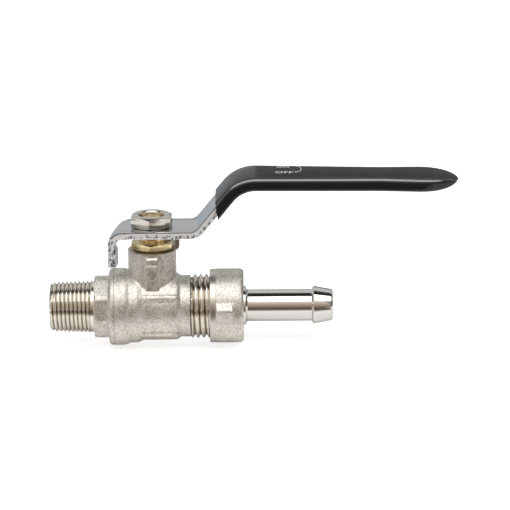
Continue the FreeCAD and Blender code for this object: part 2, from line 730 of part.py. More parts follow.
def make_lever_nut():
    prism = hexagon("lever_nut_prism", "lever_nut_flats", "lever_nut_len", stem_x, plate_high, "lever_nut_turn")
    low = plate_high
    high = "( %s + lever_nut_len )" % plate_high
    chamfered = turned("lever_nut_round", "stem", [
        ("stem_r + fit", low),
        ("lever_nut_flats / 2 - 0.1", low),
        ("lever_nut_flats / 2 / cos ( 30 deg ) + 0.1", "%s + 0.6" % low),
        ("lever_nut_flats / 2 / cos ( 30 deg ) + 0.1", "%s - 0.6" % high),
        ("lever_nut_flats / 2 - 0.1", high),
        ("lever_nut_sink_r", high),
        ("stem_r + fit", "%s - lever_nut_sink_r + stem_r" % high),
    ])
    finish("lever_nut", overlap("lever_nut_whole", [prism, chamfered]))


def make_union_nut():
    outside = turned("union_nut_outside", "pipe", [
        (nut_x, "union_thread_r + nut_thread_gap"),
        (nut_x, "nut_r - nut_rim_step"),
        ("%s + nut_rim_len" % nut_x, "nut_r - nut_rim_step"),
        ("%s + nut_rim_len + nut_rim_step" % nut_x, "nut_r"),
        (nut_end_x, "nut_r", "nut_edge_r"),
        (nut_end_x, "tail_collar_r + nut_thread_gap"),
        ("%s + fit" % tail_shoulder_x, "tail_collar_r + nut_thread_gap"),
        ("%s + fit" % tail_shoulder_x, "union_thread_r + nut_thread_gap"),
    ])
    parts = [outside]
    for side, turn in (("front", 180), ("back", 0)):
        lug = slab("nut_lug_" + side, "YZ", [
            ("nut_r - 1", "0 - nut_lug_half - 0.3"),
            ("nut_r + nut_lug_height", "0", "0.5"),
            ("nut_r - 1", "nut_lug_half + 0.3"),
        ], "0", "nut_lug_len")
        roll = turn - number("nut_lug_deg") if turn else -number("nut_lug_deg")
        lug.Placement.Rotation = FreeCAD.Rotation(Vector(1, 0, 0), roll)
        bind(lug, Placement__Base__x="%s + nut_lug_start" % nut_x)
        parts.append(lug)
    finish("union_nut", join("union_nut_whole", parts))


def make_gasket():
    finish("union_gasket", turned("gasket_ring", "pipe", [
        (union_end_x, "union_bore_r"), (union_end_x, "gasket_r"), (tail_x, "gasket_r"), (tail_x, "union_bore_r"),
    ]))


def make_hose_tail():
    finish("hose_tail", turned("tail_turned", "pipe", [
        (tail_x, "tail_bore_r + 0.8"),
        (tail_x, "tail_flange_r - 0.2"),
        ("%s + 0.2" % tail_x, "tail_flange_r"),
        (tail_shoulder_x, "tail_flange_r"),
        (tail_shoulder_x, "tail_collar_r"),
        ("%s - 0.3" % tube_x, "tail_collar_r", "0.25"),
        (tube_x, "tube_r + 0.2", "0.2"),
        ("%s + 0.3" % tube_x, "tube_r"),
        (barb_x, "tube_r"),
        ("%s + barb_rise" % barb_x, "barb_r", "0.25"),
        ("%s - barb_nose_len" % tail_end_x, "barb_nose_r", "1.2"),
        (tail_end_x, "barb_tip_r", "0.3"),
        (tail_end_x, "tail_bore_r + 0.3"),
        ("%s - 0.4" % tail_end_x, "tail_bore_r"),
        ("%s + 0.8" % tail_x, "tail_bore_r"),
    ]))


def check_and_write():
    doc.recompute()
    for thing in doc.Objects:
        if "Invalid" in thing.State or "Error" in thing.State:
            raise RuntimeError("object failed: " + thing.Name)
    os.makedirs("parts", exist_ok=True)
    for piece in nodes:
        shape = piece.Shape
        if shape.isNull() or not shape.isValid() or not shape.Solids:
            raise RuntimeError("bad shape: " + piece.Label)
        print(piece.Label, "solids", len(shape.Solids), "volume", round(shape.Volume, 2))
    for piece in nodes:
        piece.Shape.exportStep("parts/%s.step" % piece.Label)


make_body()
make_end_connector()
make_seats()
make_ball()
make_stem()
make_stem_rings()
make_gland_nut()
make_grip(make_lever())
make_lever_nut()
make_union_nut()
make_gasket()
make_hose_tail()
check_and_write()
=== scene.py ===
import bpy
import math
from mathutils import Matrix, Vector


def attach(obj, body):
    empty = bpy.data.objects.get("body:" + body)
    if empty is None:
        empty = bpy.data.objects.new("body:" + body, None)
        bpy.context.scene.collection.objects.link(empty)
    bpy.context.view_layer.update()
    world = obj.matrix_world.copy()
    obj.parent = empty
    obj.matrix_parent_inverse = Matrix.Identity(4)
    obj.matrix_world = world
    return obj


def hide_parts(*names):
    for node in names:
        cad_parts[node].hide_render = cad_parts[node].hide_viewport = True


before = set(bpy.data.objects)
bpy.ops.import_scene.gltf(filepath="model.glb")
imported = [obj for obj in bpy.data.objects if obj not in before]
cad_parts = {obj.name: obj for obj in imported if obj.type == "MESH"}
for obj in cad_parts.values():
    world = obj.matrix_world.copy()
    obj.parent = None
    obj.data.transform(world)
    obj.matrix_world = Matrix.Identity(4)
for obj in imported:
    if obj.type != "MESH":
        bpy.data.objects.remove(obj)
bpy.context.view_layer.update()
mm = 0.001
stemX = 33.4    # the stem's axis, measured from the inlet's end face; all sizes here are in millimetres
print("frame loaded:", len(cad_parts), "nodes")


# small helpers

def clearSelection():
    if bpy.context.mode != "OBJECT":
        bpy.ops.object.mode_set(mode="OBJECT")
    bpy.ops.object.select_all(action="DESELECT")


def makeActive(piece):
    clearSelection()
    bpy.context.view_layer.objects.active = piece
    piece.select_set(True)


def leaveEdit():
    bpy.ops.object.mode_set(mode="OBJECT")


def nameActive(name):
    piece = bpy.context.active_object
    piece.name = name
    piece.data.name = name
    return piece


def settle(piece):    # the piece's place, turn and scale go into its mesh
    makeActive(piece)
    bpy.ops.object.transform_apply(location=True, rotation=True, scale=True)
    return piece


def metres(values):
    return [value * mm for value in values]


def addShape(operator, name, **settings):    # starts a piece from a primitive
    clearSelection()
    operator(**settings)
    return nameActive(name)


def selectAll():
    bpy.ops.mesh.select_all(action="SELECT")


def editAll(piece):
    makeActive(piece)
    bpy.ops.object.mode_set(mode="EDIT")
    selectAll()


def editWhere(piece, test, kind="VERT"):    # selects the vertices or faces that pass the test
    makeActive(piece)
    bpy.ops.object.mode_set(mode="EDIT")
    bpy.ops.mesh.select_mode(type=kind)
    bpy.ops.mesh.select_all(action="DESELECT")
    leaveEdit()
    items = piece.data.polygons if kind == "FACE" else piece.data.vertices
    for item in items:
        item.select = bool(test(item))
    bpy.ops.object.mode_set(mode="EDIT")


def extrudeBy(step):    # the selected part, by a step in millimetres
    bpy.ops.mesh.extrude_region_move(TRANSFORM_OT_translate={"value": metres(step)})


def faceOutwards():
    bpy.ops.mesh.normals_make_consistent(inside=False)
    leaveEdit()


def closeMesh(piece):
    editAll(piece)
    bpy.ops.mesh.remove_doubles(threshold=0.002 * mm)
    faceOutwards()
    return piece


def modify(piece, kind, **settings):
    makeActive(piece)
    bpy.ops.object.modifier_add(type=kind)
    step = piece.modifiers[-1]
    for key, value in settings.items():
        setattr(step, key, value)
    bpy.ops.object.modifier_apply(modifier=step.name)
    return piece


def combine(piece, other, operation):
    modify(piece, "BOOLEAN", operation=operation, solver="EXACT", object=other)
    bpy.data.objects.remove(other)
    return piece


def joinPieces(pieces):
    clearSelection()
    for piece in pieces:
        piece.select_set(True)
    bpy.context.view_layer.objects.active = pieces[0]
    bpy.ops.object.join()
    return pieces[0]


def sliceAt(piece, point, normal):    # keeps what lies behind the plane, and closes the cut
    editAll(piece)
    bpy.ops.mesh.bisect(plane_co=metres(point), plane_no=Vector(normal).normalized(), use_fill=True,
                        clear_outer=True)
    leaveEdit()
    return piece


def turnOutline(name, axis, outline, sides=144, capped=False):    # pairs of (along, radius), ring by ring
    onPipe = axis == "X"
    along, radius = outline[0]
    piece = settle(addShape(bpy.ops.mesh.primitive_circle_add, name, vertices=sides, radius=radius * mm,
                            location=metres((along, 0, 0) if onPipe else (stemX, 0, along)),
                            fill_type="NGON" if capped else "NOTHING",
                            rotation=(0, math.pi / 2, 0) if onPipe else (0, 0, 0)))
    editAll(piece)
    for (start, startRadius), (end, endRadius) in zip(outline, outline[1:]):
        step = end - start
        extrudeBy((step, 0, 0) if onPipe else (0, 0, step))
        if abs(endRadius - startRadius) > 1e-6:
            grow = endRadius / startRadius
            centre = metres((end, 0, 0) if onPipe else (stemX, 0, end))
            bpy.ops.transform.resize(value=(1, grow, grow) if onPipe else (grow, grow, 1),
                                     center_override=centre)
    return closeMesh(piece)


def sleeveCut(piece, left, right, bore):    # keeps what lies between two planes and outside the bore
    beyond = 16    # wider than any piece around the pipe
    outline = [(left, bore), (left, beyond), (right, beyond), (right, bore), (left, bore)]
    return combine(piece, turnOutline(piece.name + "Sleeve", "X", outline, 120), "INTERSECT")


def squareEnds(piece, left, right, bore):    # cuts both ends square and joins them by the bore
    for level, side in ((left, -1), (right, 1)):
        editAll(piece)
        bpy.ops.mesh.bisect(plane_co=(level * mm, 0, 0), plane_no=(side, 0, 0), clear_outer=True,
                            threshold=0.0005 * mm)
        leaveEdit()
    editAll(piece)
    bpy.ops.mesh.select_mode(type="EDGE")
    bpy.ops.mesh.select_all(action="DESELECT")
    bpy.ops.mesh.select_non_manifold()
    bpy.ops.mesh.extrude_edges_move()
    leaveEdit()
    for vertex in piece.data.vertices:
        if vertex.select:
            x, y, z = vertex.co
            shrink = bore * mm / math.hypot(y, z)
            vertex.co = (x, y * shrink, z * shrink)
    bpy.ops.object.mode_set(mode="EDIT")
    bpy.ops.mesh.bridge_edge_loops()
    bpy.ops.mesh.select_mode(type="VERT")
    selectAll()
    faceOutwards()
    return piece


def roundEdges(piece, width, segments=3, degrees=35):
    modify(piece, "BEVEL", width=width * mm, segments=segments, limit_method="ANGLE",
           angle_limit=math.radians(degrees), use_clamp_overlap=True)
    return piece


def smoothShade(piece, degrees=32):
    makeActive(piece)
    bpy.ops.object.shade_smooth_by_angle(angle=math.radians(degrees))
    return piece


def newMarks(piece, name):    # one value per vertex, which the materials read
    return piece.data.attributes.new(name, "FLOAT", "POINT").data


def outlineBlock(name, corners, step):    # a flat outline of 3-D corners, extruded by a step
    piece = settle(addShape(bpy.ops.mesh.primitive_circle_add, name, vertices=len(corners), radius=mm,
                            fill_type="NGON"))
    for vertex, corner in zip(piece.data.vertices, corners):
        vertex.co = metres(corner)
    editAll(piece)
    extrudeBy(step)
    return closeMesh(piece)


def softCast(piece, voxel, rounds, factor=0.5):    # a cast or forged skin: one closed mesh with soft edges
    modify(piece, "REMESH", mode="VOXEL", voxel_size=voxel * mm, use_smooth_shade=True)
    modify(piece, "SMOOTH", factor=factor, iterations=rounds)
    return piece


# camera, floor and light

camera = {"elevation": 16.0, "roll": 0.45, "distance": 980.0, "focalPixels": 3000.0,
          "stemPixel": (153.1, 305.9), "pictureSide": 510, "sensor": 36.0}


def makeCamera():
    tilt = math.radians(camera["elevation"])
    roll = math.radians(camera["roll"])
    forward = Vector((0, math.cos(tilt), -math.sin(tilt)))
    levelUp = Vector((0, math.sin(tilt), math.cos(tilt)))
    right = Vector((1, 0, 0)) * math.cos(roll) - levelUp * math.sin(roll)
    up = Vector((1, 0, 0)) * math.sin(roll) + levelUp * math.cos(roll)
    perPixel = camera["distance"] / camera["focalPixels"] * mm
    middle = camera["pictureSide"] / 2
    across = (middle - camera["stemPixel"][0]) * perPixel
    down = (camera["stemPixel"][1] - middle) * perPixel
    place = Vector((stemX * mm, 0, 0)) + right * across + up * down - forward * camera["distance"] * mm
    clearSelection()
    bpy.ops.object.camera_add()
    eye = bpy.context.active_object
    eye.name = "photoCamera"
    turn = Matrix((right, up, -forward)).transposed()
    eye.matrix_world = Matrix.Translation(place) @ turn.to_4x4()
    eye.data.sensor_width = camera["sensor"]
    eye.data.lens = camera["focalPixels"] / camera["pictureSide"] * camera["sensor"]
    bpy.context.scene.camera = eye


def plainMaterial(name, colour, roughness=0.8):
    material = bpy.data.materials.new(name)
    material.use_nodes = True
    shader = material.node_tree.nodes["Principled BSDF"]
    shader.inputs["Base Color"].default_value = colour
    shader.inputs["Roughness"].default_value = roughness
    return material


def addNode(material, kind, inputs, **settings):    # inputs are numbers, colours or outputs of other nodes
    node = material.node_tree.nodes.new(kind)
    for key, value in settings.items():
        setattr(node, key, value)
    for socket, value in inputs.items():
        if isinstance(value, bpy.types.NodeSocket):
            material.node_tree.links.new(value, node.inputs[socket])
        else:
            node.inputs[socket].default_value = value
    return node


def feed(material, output, socket):
    material.node_tree.links.new(output, material.node_tree.nodes["Principled BSDF"].inputs[socket])


def addMath(material, operation, *values):
    return addNode(material, "ShaderNodeMath", dict(enumerate(values)), operation=operation).outputs[0]


def addRange(material, value, fromMin, fromMax, toMin=0.0, toMax=1.0):
    return addNode(material, "ShaderNodeMapRange", {"Value": value, "From Min": fromMin, "From Max": fromMax,
                                                    "To Min": toMin, "To Max": toMax}).outputs[0]


def addRamp(material, factor, *stops):    # stops of (position, colour or grey)
    ramp = addNode(material, "ShaderNodeValToRGB", {"Fac": factor})
    while len(ramp.color_ramp.elements) < len(stops):
        ramp.color_ramp.elements.new(0.5)
    for element, (position, colour) in zip(ramp.color_ramp.elements, stops):
        element.position = position
        element.color = (*colour, 1) if isinstance(colour, tuple) else (colour, colour, colour, 1)
    return ramp.outputs["Color"]


def splitPlace(material, place):
    return addNode(material, "ShaderNodeSeparateXYZ", {0: place}).outputs


def mixGlow(material, factor, first, colour):    # where the factor is 1, only the colour's own light is left
    glow = addNode(material, "ShaderNodeEmission", {"Color": colour})
    return addNode(material, "ShaderNodeMixShader", {0: factor, 1: first, 2: glow.outputs[0]}).outputs[0]


paper = {"level": -13.6, "side": 8000.0, "colour": (0.86, 0.86, 0.86, 1), "cameraLift": 0.70,
         "mirrorLift": 0.31, "shadeFrom": -24.0, "shadeTo": 2.0, "shade": 0.20, "bodyShade": 0.10,
         "bodyTo": 58.0, "tailFrom": 68.0, "darkFrom": 26.0, "darkTo": 44.0, "darkHalf": 50.0, "darkNear": 20.0,
         "darkShift": 0.12, "darkSpread": (0.5, 0.85), "darkColour": (0.15, 0.11, 0.088, 1),
         "farFrom": 120.0, "farTo": 420.0, "farColour": (0.43, 0.475, 0.51, 1)}


def makeFloorMaterial():
    p = paper
    material = plainMaterial("floorPaper", p["colour"])
    nodes = material.node_tree.nodes

    def calc(operation, *values):
        return addMath(material, operation, *values)

    ray = addNode(material, "ShaderNodeLightPath", {}).outputs
    parts = splitPlace(material, addNode(material, "ShaderNodeNewGeometry", {}).outputs["Position"])
    x, y = parts["X"], parts["Y"]
    # mirror faces show the object's own shade on the paper, deeper under the body than under the hose tail
    shade = addRange(material, y, p["shadeFrom"] * mm, p["shadeTo"] * mm)
    under = addRange(material, x, p["bodyTo"] * mm, p["tailFrom"] * mm, p["shade"] + p["bodyShade"],
                     p["shade"])
    mirrorLift = calc("SUBTRACT", p["mirrorLift"], calc("MULTIPLY", shade, under))
    lift = calc("ADD", calc("MULTIPLY", ray["Is Camera Ray"], p["cameraLift"]),
                calc("MULTIPLY", ray["Is Glossy Ray"], mirrorLift))
    glow = addNode(material, "ShaderNodeEmission", {"Strength": lift})
    lit = addNode(material, "ShaderNodeAddShader", {0: nodes["Principled BSDF"].outputs[0], 1: glow.outputs[0]})
    # they also show the dark edge of the table, in front of the object and not much wider than the camera
    ahead = calc("MULTIPLY", y, -1.0)
    shifted = calc("ADD", calc("SUBTRACT", x, stemX * mm), calc("MULTIPLY", ahead, p["darkShift"]))
    beside = calc("SUBTRACT", calc("ABSOLUTE", shifted), p["darkHalf"] * mm)
    spread = addRange(material, calc("DIVIDE", beside, calc("ADD", ahead, p["darkNear"] * mm)),
                      *p["darkSpread"], 1.0, 0.0)
    reach = addRange(material, ahead, p["darkFrom"] * mm, p["darkTo"] * mm)
    dark = calc("MULTIPLY", calc("MULTIPLY", reach, spread), ray["Is Glossy Ray"])
    edged = mixGlow(material, dark, lit.outputs[0], p["darkColour"])
    # and the back wall, far behind the object
    far = calc("MULTIPLY", addRange(material, y, p["farFrom"] * mm, p["farTo"] * mm), ray["Is Glossy Ray"])
    whole = mixGlow(material, far, edged, p["farColour"])
    material.node_tree.links.new(whole, nodes["Material Output"].inputs["Surface"])
    return material


def makeFloor():
    floor = settle(addShape(bpy.ops.mesh.primitive_plane_add, "floor", size=paper["side"] * mm,
                            location=metres((stemX, 0, paper["level"]))))
    floor.data.materials.append(makeFloorMaterial())


lamps = {    # size, place and power of each softbox
    "frontBox": ((1500.0, 746.0), (40.0, -387.0, 812.0), 6.2),
    "backBox": ((1900.0, 400.0), (40.0, 769.0, 220.0), 0.66),
    "backHighBox": ((1900.0, 483.0), (40.0, 538.0, 592.0), 0.95)}
air = {"colour": (0.98, 0.98, 0.97, 1), "strength": 0.26}


def makeLamps():
    world = bpy.data.worlds.new("studioWorld")
    bpy.context.scene.world = world
    world.use_nodes = True
    sky = world.node_tree.nodes["Background"]
    sky.inputs["Color"].default_value = air["colour"]
    sky.inputs["Strength"].default_value = air["strength"]
    for name, (size, place, power) in lamps.items():
        clearSelection()
        bpy.ops.object.light_add(type="AREA", location=metres(place))
        lamp = bpy.context.active_object
        lamp.name = name
        lamp.rotation_euler = (Vector(place) - Vector((stemX, 0, 0))).to_track_quat("Z", "Y").to_euler()
        lamp.data.shape = "RECTANGLE"
        lamp.data.size = size[0] * mm
        lamp.data.size_y = size[1] * mm
        lamp.data.energy = power


cards = {"frontSize": (1450.0, 1138.0), "frontPlace": (75.0, -1250.0, 556.0), "frontTop": 1125.0,
         "frontColours": ((0.0, (0.22, 0.17, 0.14)), (0.45, (0.50, 0.41, 0.33)), (0.9, (0.85, 0.79, 0.70))),
         "sides": (("leftCard", -56.0, 900.0, (0.56, 0.54, 0.50, 1)),
                   ("rightCard", 66.0, 1500.0, (0.13, 0.10, 0.08, 1))),
         "sideAway": 1300.0, "sideHeight": 820.0, "sideLevel": 400.0,
         "topSize": (1880.0, 440.0), "topPlace": (40.0, 170.0, 960.0), "topColour": (0.15, 0.15, 0.15, 1),
         "gripSize": (696.0, 313.0), "gripPlace": (412.0, 600.0, 143.5), "gripColour": (0.35, 0.36, 0.37, 1)}


def stageCard(name, size, place, turn, material):    # a card that only shows in the metal
    card = addShape(bpy.ops.mesh.primitive_plane_add, name, size=1, rotation=turn, location=metres(place))
    card.scale = (*metres(size), 1)
    settle(card)
    card.data.materials.append(material)
    card.visible_camera = False


def glowMaterial(name, colour):    # black, with light of its own
    material = plainMaterial(name, (0, 0, 0, 1))
    shader = material.node_tree.nodes["Principled BSDF"]
    shader.inputs["Emission Color"].default_value = colour
    shader.inputs["Emission Strength"].default_value = 1.0
    return material


def makeFrontMaterial():    # the dark side of the room, behind the camera, lighter towards the softbox
    material = glowMaterial("frontCard", (1, 1, 1, 1))
    parts = splitPlace(material, addNode(material, "ShaderNodeTexCoord", {}).outputs["Object"])
    height = addRange(material, parts["Z"], 0.0, cards["frontTop"] * mm)
    feed(material, addRamp(material, height, *cards["frontColours"]), "Emission Color")
    return material


def makeCards():
    c = cards
    upright = math.pi / 2
    stageCard("frontCard", c["frontSize"], c["frontPlace"], (upright, 0, 0), makeFrontMaterial())
    for name, side, width, colour in c["sides"]:    # light to the camera's left, dark to its right
        turn = math.radians(side)
        place = (c["sideAway"] * math.sin(turn) + stemX, -c["sideAway"] * math.cos(turn), c["sideLevel"])
        stageCard(name, (width, c["sideHeight"]), place, (upright, 0, turn), glowMaterial(name, colour))
    # the top card is black, between the two softboxes; the grip card keeps the vinyl's top black
    stageCard("topCard", c["topSize"], c["topPlace"], (0, 0, 0), plainMaterial("topCard", c["topColour"]))
    stageCard("gripCard", c["gripSize"], c["gripPlace"], (upright, 0, 0),
              plainMaterial("gripCard", c["gripColour"]))


makeCamera()
makeFloor()
makeLamps()
makeCards()
bpy.context.scene.view_settings.view_transform = "Standard"
print("camera, floor and light are placed")


# materials

def newMaterial(name, colour, metallic, roughness):
    material = plainMaterial(name, (*colour, 1), roughness)
    material.node_tree.nodes["Principled BSDF"].inputs["Metallic"].default_value = metallic
    return material


def objectCoordinates(material, scale=(1, 1, 1)):
    place = addNode(material, "ShaderNodeTexCoord", {}).outputs["Object"]
    return addNode(material, "ShaderNodeMapping", {"Vector": place, "Scale": scale}).outputs["Vector"]


def noiseOn(material, vector, scale, detail=3.0, roughness=0.5):
    return addNode(material, "ShaderNodeTexNoise", {"Vector": vector, "Scale": scale, "Detail": detail,
                                                    "Roughness": roughness}).outputs["Fac"]


def feedRamp(material, socket, factor, low, high, start=0.35, end=0.65):
    feed(material, addRamp(material, factor, (start, low), (end, high)), socket)


def markOn(material, name):    # a value that the mesh carries at each vertex
    return addNode(material, "ShaderNodeAttribute", {}, attribute_name=name).outputs["Fac"]


def bumpOn(material, heights):    # each height is (factor output, strength, depth in mm)
    before = {}
    for factor, strength, depth in heights:
        bump = addNode(material, "ShaderNodeBump", {"Strength": strength, "Distance": depth * mm,
                                                    "Height": factor, **before})
        before = {"Normal": bump.outputs["Normal"]}
    feed(material, bump.outputs["Normal"], "Normal")


blasted = {"light": (0.93, 0.895, 0.83), "dark": (0.60, 0.565, 0.505), "toneFrom": 0.40, "toneTo": 0.56,
           "roughLow": 0.40, "roughHigh": 0.50, "grain": 3000.0, "grainDepth": 0.15, "patches": 260.0,
           "patchDepth": 0.10, "grainBump": 0.8, "patchBump": 0.2,
           "speckle": 0.55, "speckleShare": 0.75, "patchShare": 0.25}


def makeBlasted():
    b = blasted
    material = newMaterial("blastedNickel", b["light"], 1.0, b["roughLow"])
    vector = objectCoordinates(material)
    grain = noiseOn(material, vector, b["grain"], 2.0, 0.6)
    patches = noiseOn(material, vector, b["patches"], 4.0, 0.6)
    speckle = noiseOn(material, vector, b["grain"] * b["speckle"], 2.0, 0.7)
    tone = addMath(material, "MULTIPLY_ADD", speckle, b["speckleShare"],
                   addMath(material, "MULTIPLY", patches, b["patchShare"]))
    feedRamp(material, "Base Color", tone, b["dark"], b["light"], b["toneFrom"], b["toneTo"])
    feedRamp(material, "Roughness", patches, b["roughLow"], b["roughHigh"], 0.3, 0.7)
    bumpOn(material, [(grain, b["grainBump"], b["grainDepth"]), (patches, b["patchBump"], b["patchDepth"])])
    return material


# the root colour is painted shade, dark in the thread's roots; the crest colour is the metal's own
thread = {"crest": (0.93, 0.89, 0.82), "root": (0.36, 0.31, 0.25), "shadedRootFrom": 0.18, "shadedRootTo": 0.54,
          "roughLow": 0.09, "roughHigh": 0.19, "lines": (5200.0, 90.0, 90.0), "lineDepth": 0.01,
          "lineBump": 0.35, "stains": 420.0, "wander": 0.35}


def makeThreadMetal():    # cut threads, with painted shade in the darker roots; "crest" runs from 0 in the root to 1
    t = thread
    material = newMaterial("threadMetal", t["crest"], 1.0, t["roughHigh"])
    lines = noiseOn(material, objectCoordinates(material, t["lines"]), 1.0, 2.0)
    stains = noiseOn(material, objectCoordinates(material), t["stains"], 4.0, 0.65)
    height = addMath(material, "MULTIPLY_ADD", stains, t["wander"], markOn(material, "crest"))
    # painted shade: the root colour low in the thread, the crest colour on top
    feedRamp(material, "Base Color", height, t["root"], t["crest"], t["shadedRootFrom"], t["shadedRootTo"])
    feedRamp(material, "Roughness", stains, t["roughHigh"], t["roughLow"])
    bumpOn(material, [(lines, t["lineBump"], t["lineDepth"])])
    return material


plating = {    # name, colour, lowest and highest roughness, scale of the waves, their depth in millimetres
    "bright": ("brightPlate", (0.84, 0.82, 0.79), 0.03, 0.06, 90.0, 0.02),
    "lever": ("leverPlating", (0.66, 0.68, 0.71), 0.10, 0.20, 130.0, 0.08),
    "nut": ("nutPlating", (0.74, 0.71, 0.655), 0.14, 0.24, 420.0, 0.03),
    "turned": ("turnedRim", (0.74, 0.70, 0.64), 0.26, 0.36, 420.0, 0.05)}
plateHaze, plateBump = 900.0, 0.3


def makeBright(name, colour, roughLow, roughHigh, wave, waveDepth):
    material = newMaterial(name, colour, 1.0, roughLow)
    vector = objectCoordinates(material)
    waves = noiseOn(material, vector, wave, 2.0)
    haze = noiseOn(material, vector, plateHaze)
    feedRamp(material, "Roughness", haze, roughLow, roughHigh, 0.3, 0.7)
    bumpOn(material, [(waves, plateBump, waveDepth)])
    return material


# the line colour is painted shade along the top of the cut edge
sheared = {"tornAt": 0.3, "fades": 0.45, "offset": -0.10, "tornFrom": 0.355, "tornTo": 0.455,
           "light": (0.97, 0.97, 0.98), "dark": (0.10, 0.10, 0.105), "line": (0.22, 0.22, 0.23),
           "shadeLineFrom": 0.82, "shadeLineTo": 0.89, "tears": (1500.0, 1500.0, 620.0), "tearDepth": 0.10,
           "tearBump": 0.8, "roughness": 0.36, "metallic": 0.2}


def makeSheared():    # the plate's cut edge, torn below, with a painted shade line along its top; "depth" runs from 1 at the top face to 0
    s = sheared
    material = newMaterial("shearedEdge", s["light"], s["metallic"], s["roughness"])
    tears = noiseOn(material, objectCoordinates(material, s["tears"]), 1.0, 3.0, 0.7)
    depth = markOn(material, "depth")
    away = addMath(material, "ABSOLUTE", addMath(material, "SUBTRACT", depth, s["tornAt"]))
    level = addMath(material, "ADD", tears, addMath(material, "MULTIPLY_ADD", away, s["fades"], s["offset"]))
    torn = addRamp(material, level, (s["tornFrom"], s["dark"]), (s["tornTo"], s["light"]))
    # painted shade: a dark line along the top of the cut edge
    line = addRange(material, depth, s["shadeLineFrom"], s["shadeLineTo"])
    mix = addNode(material, "ShaderNodeMix", {0: line, 6: torn, 7: (*s["line"], 1)}, data_type="RGBA")
    feed(material, mix.outputs[2], "Base Color")    # its colour sockets are inputs 6 and 7 and output 2
    bumpOn(material, [(tears, s["tearBump"], s["tearDepth"])])
    return material


brass = {"light": (1.0, 0.83, 0.50), "dark": (0.88, 0.68, 0.37), "darkTo": 0.28, "lightFrom": 0.52,
         "roughHigh": 0.30, "roughLow": 0.20, "stains": 650.0, "stainDepth": 0.02,
         "stainBump": 0.1, "lines": (60.0, 60.0, 4200.0), "lineDepth": 0.012, "lineBump": 0.3}


def makeBrass():
    b = brass
    material = newMaterial("bareBrass", b["light"], 1.0, b["roughLow"])
    stains = noiseOn(material, objectCoordinates(material), b["stains"], 4.0, 0.6)
    lines = noiseOn(material, objectCoordinates(material, b["lines"]), 1.0, 2.0)
    feedRamp(material, "Base Color", stains, b["dark"], b["light"], b["darkTo"], b["lightFrom"])
    feedRamp(material, "Roughness", stains, b["roughHigh"], b["roughLow"])
    bumpOn(material, [(lines, b["lineBump"], b["lineDepth"]), (stains, b["stainBump"], b["stainDepth"])])
    return material


vinyl = {"colour": (0.013, 0.0135, 0.0135), "roughLow": 0.12, "roughHigh": 0.18, "ior": 1.9,
         "paintedShine": ((0.0, 0.20), (0.5, 0.24), (0.66, 0.9), (0.93, 0.9), (0.99, 0.07)),
         "waves": 70.0, "waveDepth": 0.30, "waveBump": 0.35,
         "pores": 1800.0, "poreDepth": 0.01, "poreBump": 0.15}


def makeVinyl():    # "rise" is 1 on the flat top, and less where it rounds off; the shine by rise is painted sheen: strong on the rounded edge as a painted highlight line, faint on the flat top
    v = vinyl
    material = newMaterial("blackVinyl", v["colour"], 0.0, v["roughHigh"])
    material.node_tree.nodes["Principled BSDF"].inputs["IOR"].default_value = v["ior"]
    vector = objectCoordinates(material)
    waves = noiseOn(material, vector, v["waves"], 2.0)
    pores = noiseOn(material, vector, v["pores"], 2.0)
    # painted sheen: the specular level follows "rise", high on the rounded edge and low on the top
    feed(material, addRamp(material, markOn(material, "rise"), *v["paintedShine"]), "Specular IOR Level")
    feedRamp(material, "Roughness", waves, v["roughLow"], v["roughHigh"], 0.3, 0.7)
    bumpOn(material, [(waves, v["waveBump"], v["waveDepth"]), (pores, v["poreBump"], v["poreDepth"])])
    return material


softSolids = {    # name, colour and roughness
    "print": ("whitePrint", (0.85, 0.85, 0.84), 0.45),
    "seat": ("seatPlastic", (0.86, 0.86, 0.84), 0.5),
    "rubber": ("gasketRubber", (0.05, 0.05, 0.05), 0.7)}
mottled = {"scale": 800.0, "shade": 0.88, "bump": 0.2, "depth": 0.02}


def makeSoftSolid(name, colour, roughness):
    material = newMaterial(name, colour, 0.0, roughness)
    mottle = noiseOn(material, objectCoordinates(material), mottled["scale"])
    feedRamp(material, "Base Color", mottle, tuple(value * mottled["shade"] for value in colour), colour)
    bumpOn(material, [(mottle, mottled["bump"], mottled["depth"])])
    return material


finish = {"blasted": makeBlasted(), "thread": makeThreadMetal(), "sheared": makeSheared(),
          "brass": makeBrass(), "vinyl": makeVinyl(),
          **{key: makeBright(*values) for key, values in plating.items()},
          **{key: makeSoftSolid(*values) for key, values in softSolids.items()}}
print("materials are made:", len(finish))


def openEdges(piece):    # edges that don't join exactly two faces
    uses = {}
    for face in piece.data.polygons:
        for key in face.edge_keys:
            uses[key] = uses.get(key, 0) + 1
    return sum(1 for count in uses.values() if count != 2)


def dress(piece, materials, body, slot, *nodes):    # without materials, the piece keeps the ones it has
    print("   ", piece.name, "faces:", len(piece.data.polygons), "open edges:", openEdges(piece))
    if materials:
        piece.data.materials.clear()
    for material in materials:
        piece.data.materials.append(material)
    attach(piece, body)
    if nodes:
        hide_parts(*nodes)
    return piece


# threads

def valueAt(table, x):    # straight steps between the rows of a table
    for (x0, y0), (x1, y1) in zip(table, table[1:]):
        if x <= x1:
            t = min(max((x - x0) / (x1 - x0), 0), 1)
            return y0 + (y1 - y0) * t
    return table[-1][1]


threadProfile = [(0.0, 0.0), (0.03, 0.0), (0.33, 0.76), (0.39, 0.92), (0.46, 1.0), (0.57, 1.0), (0.64, 0.92),
                 (0.70, 0.76), (1.0, 0.0)]    # along the pitch and up the depth
threadLead = 1.47    # pitches wound before the start, which sets where the crests fall


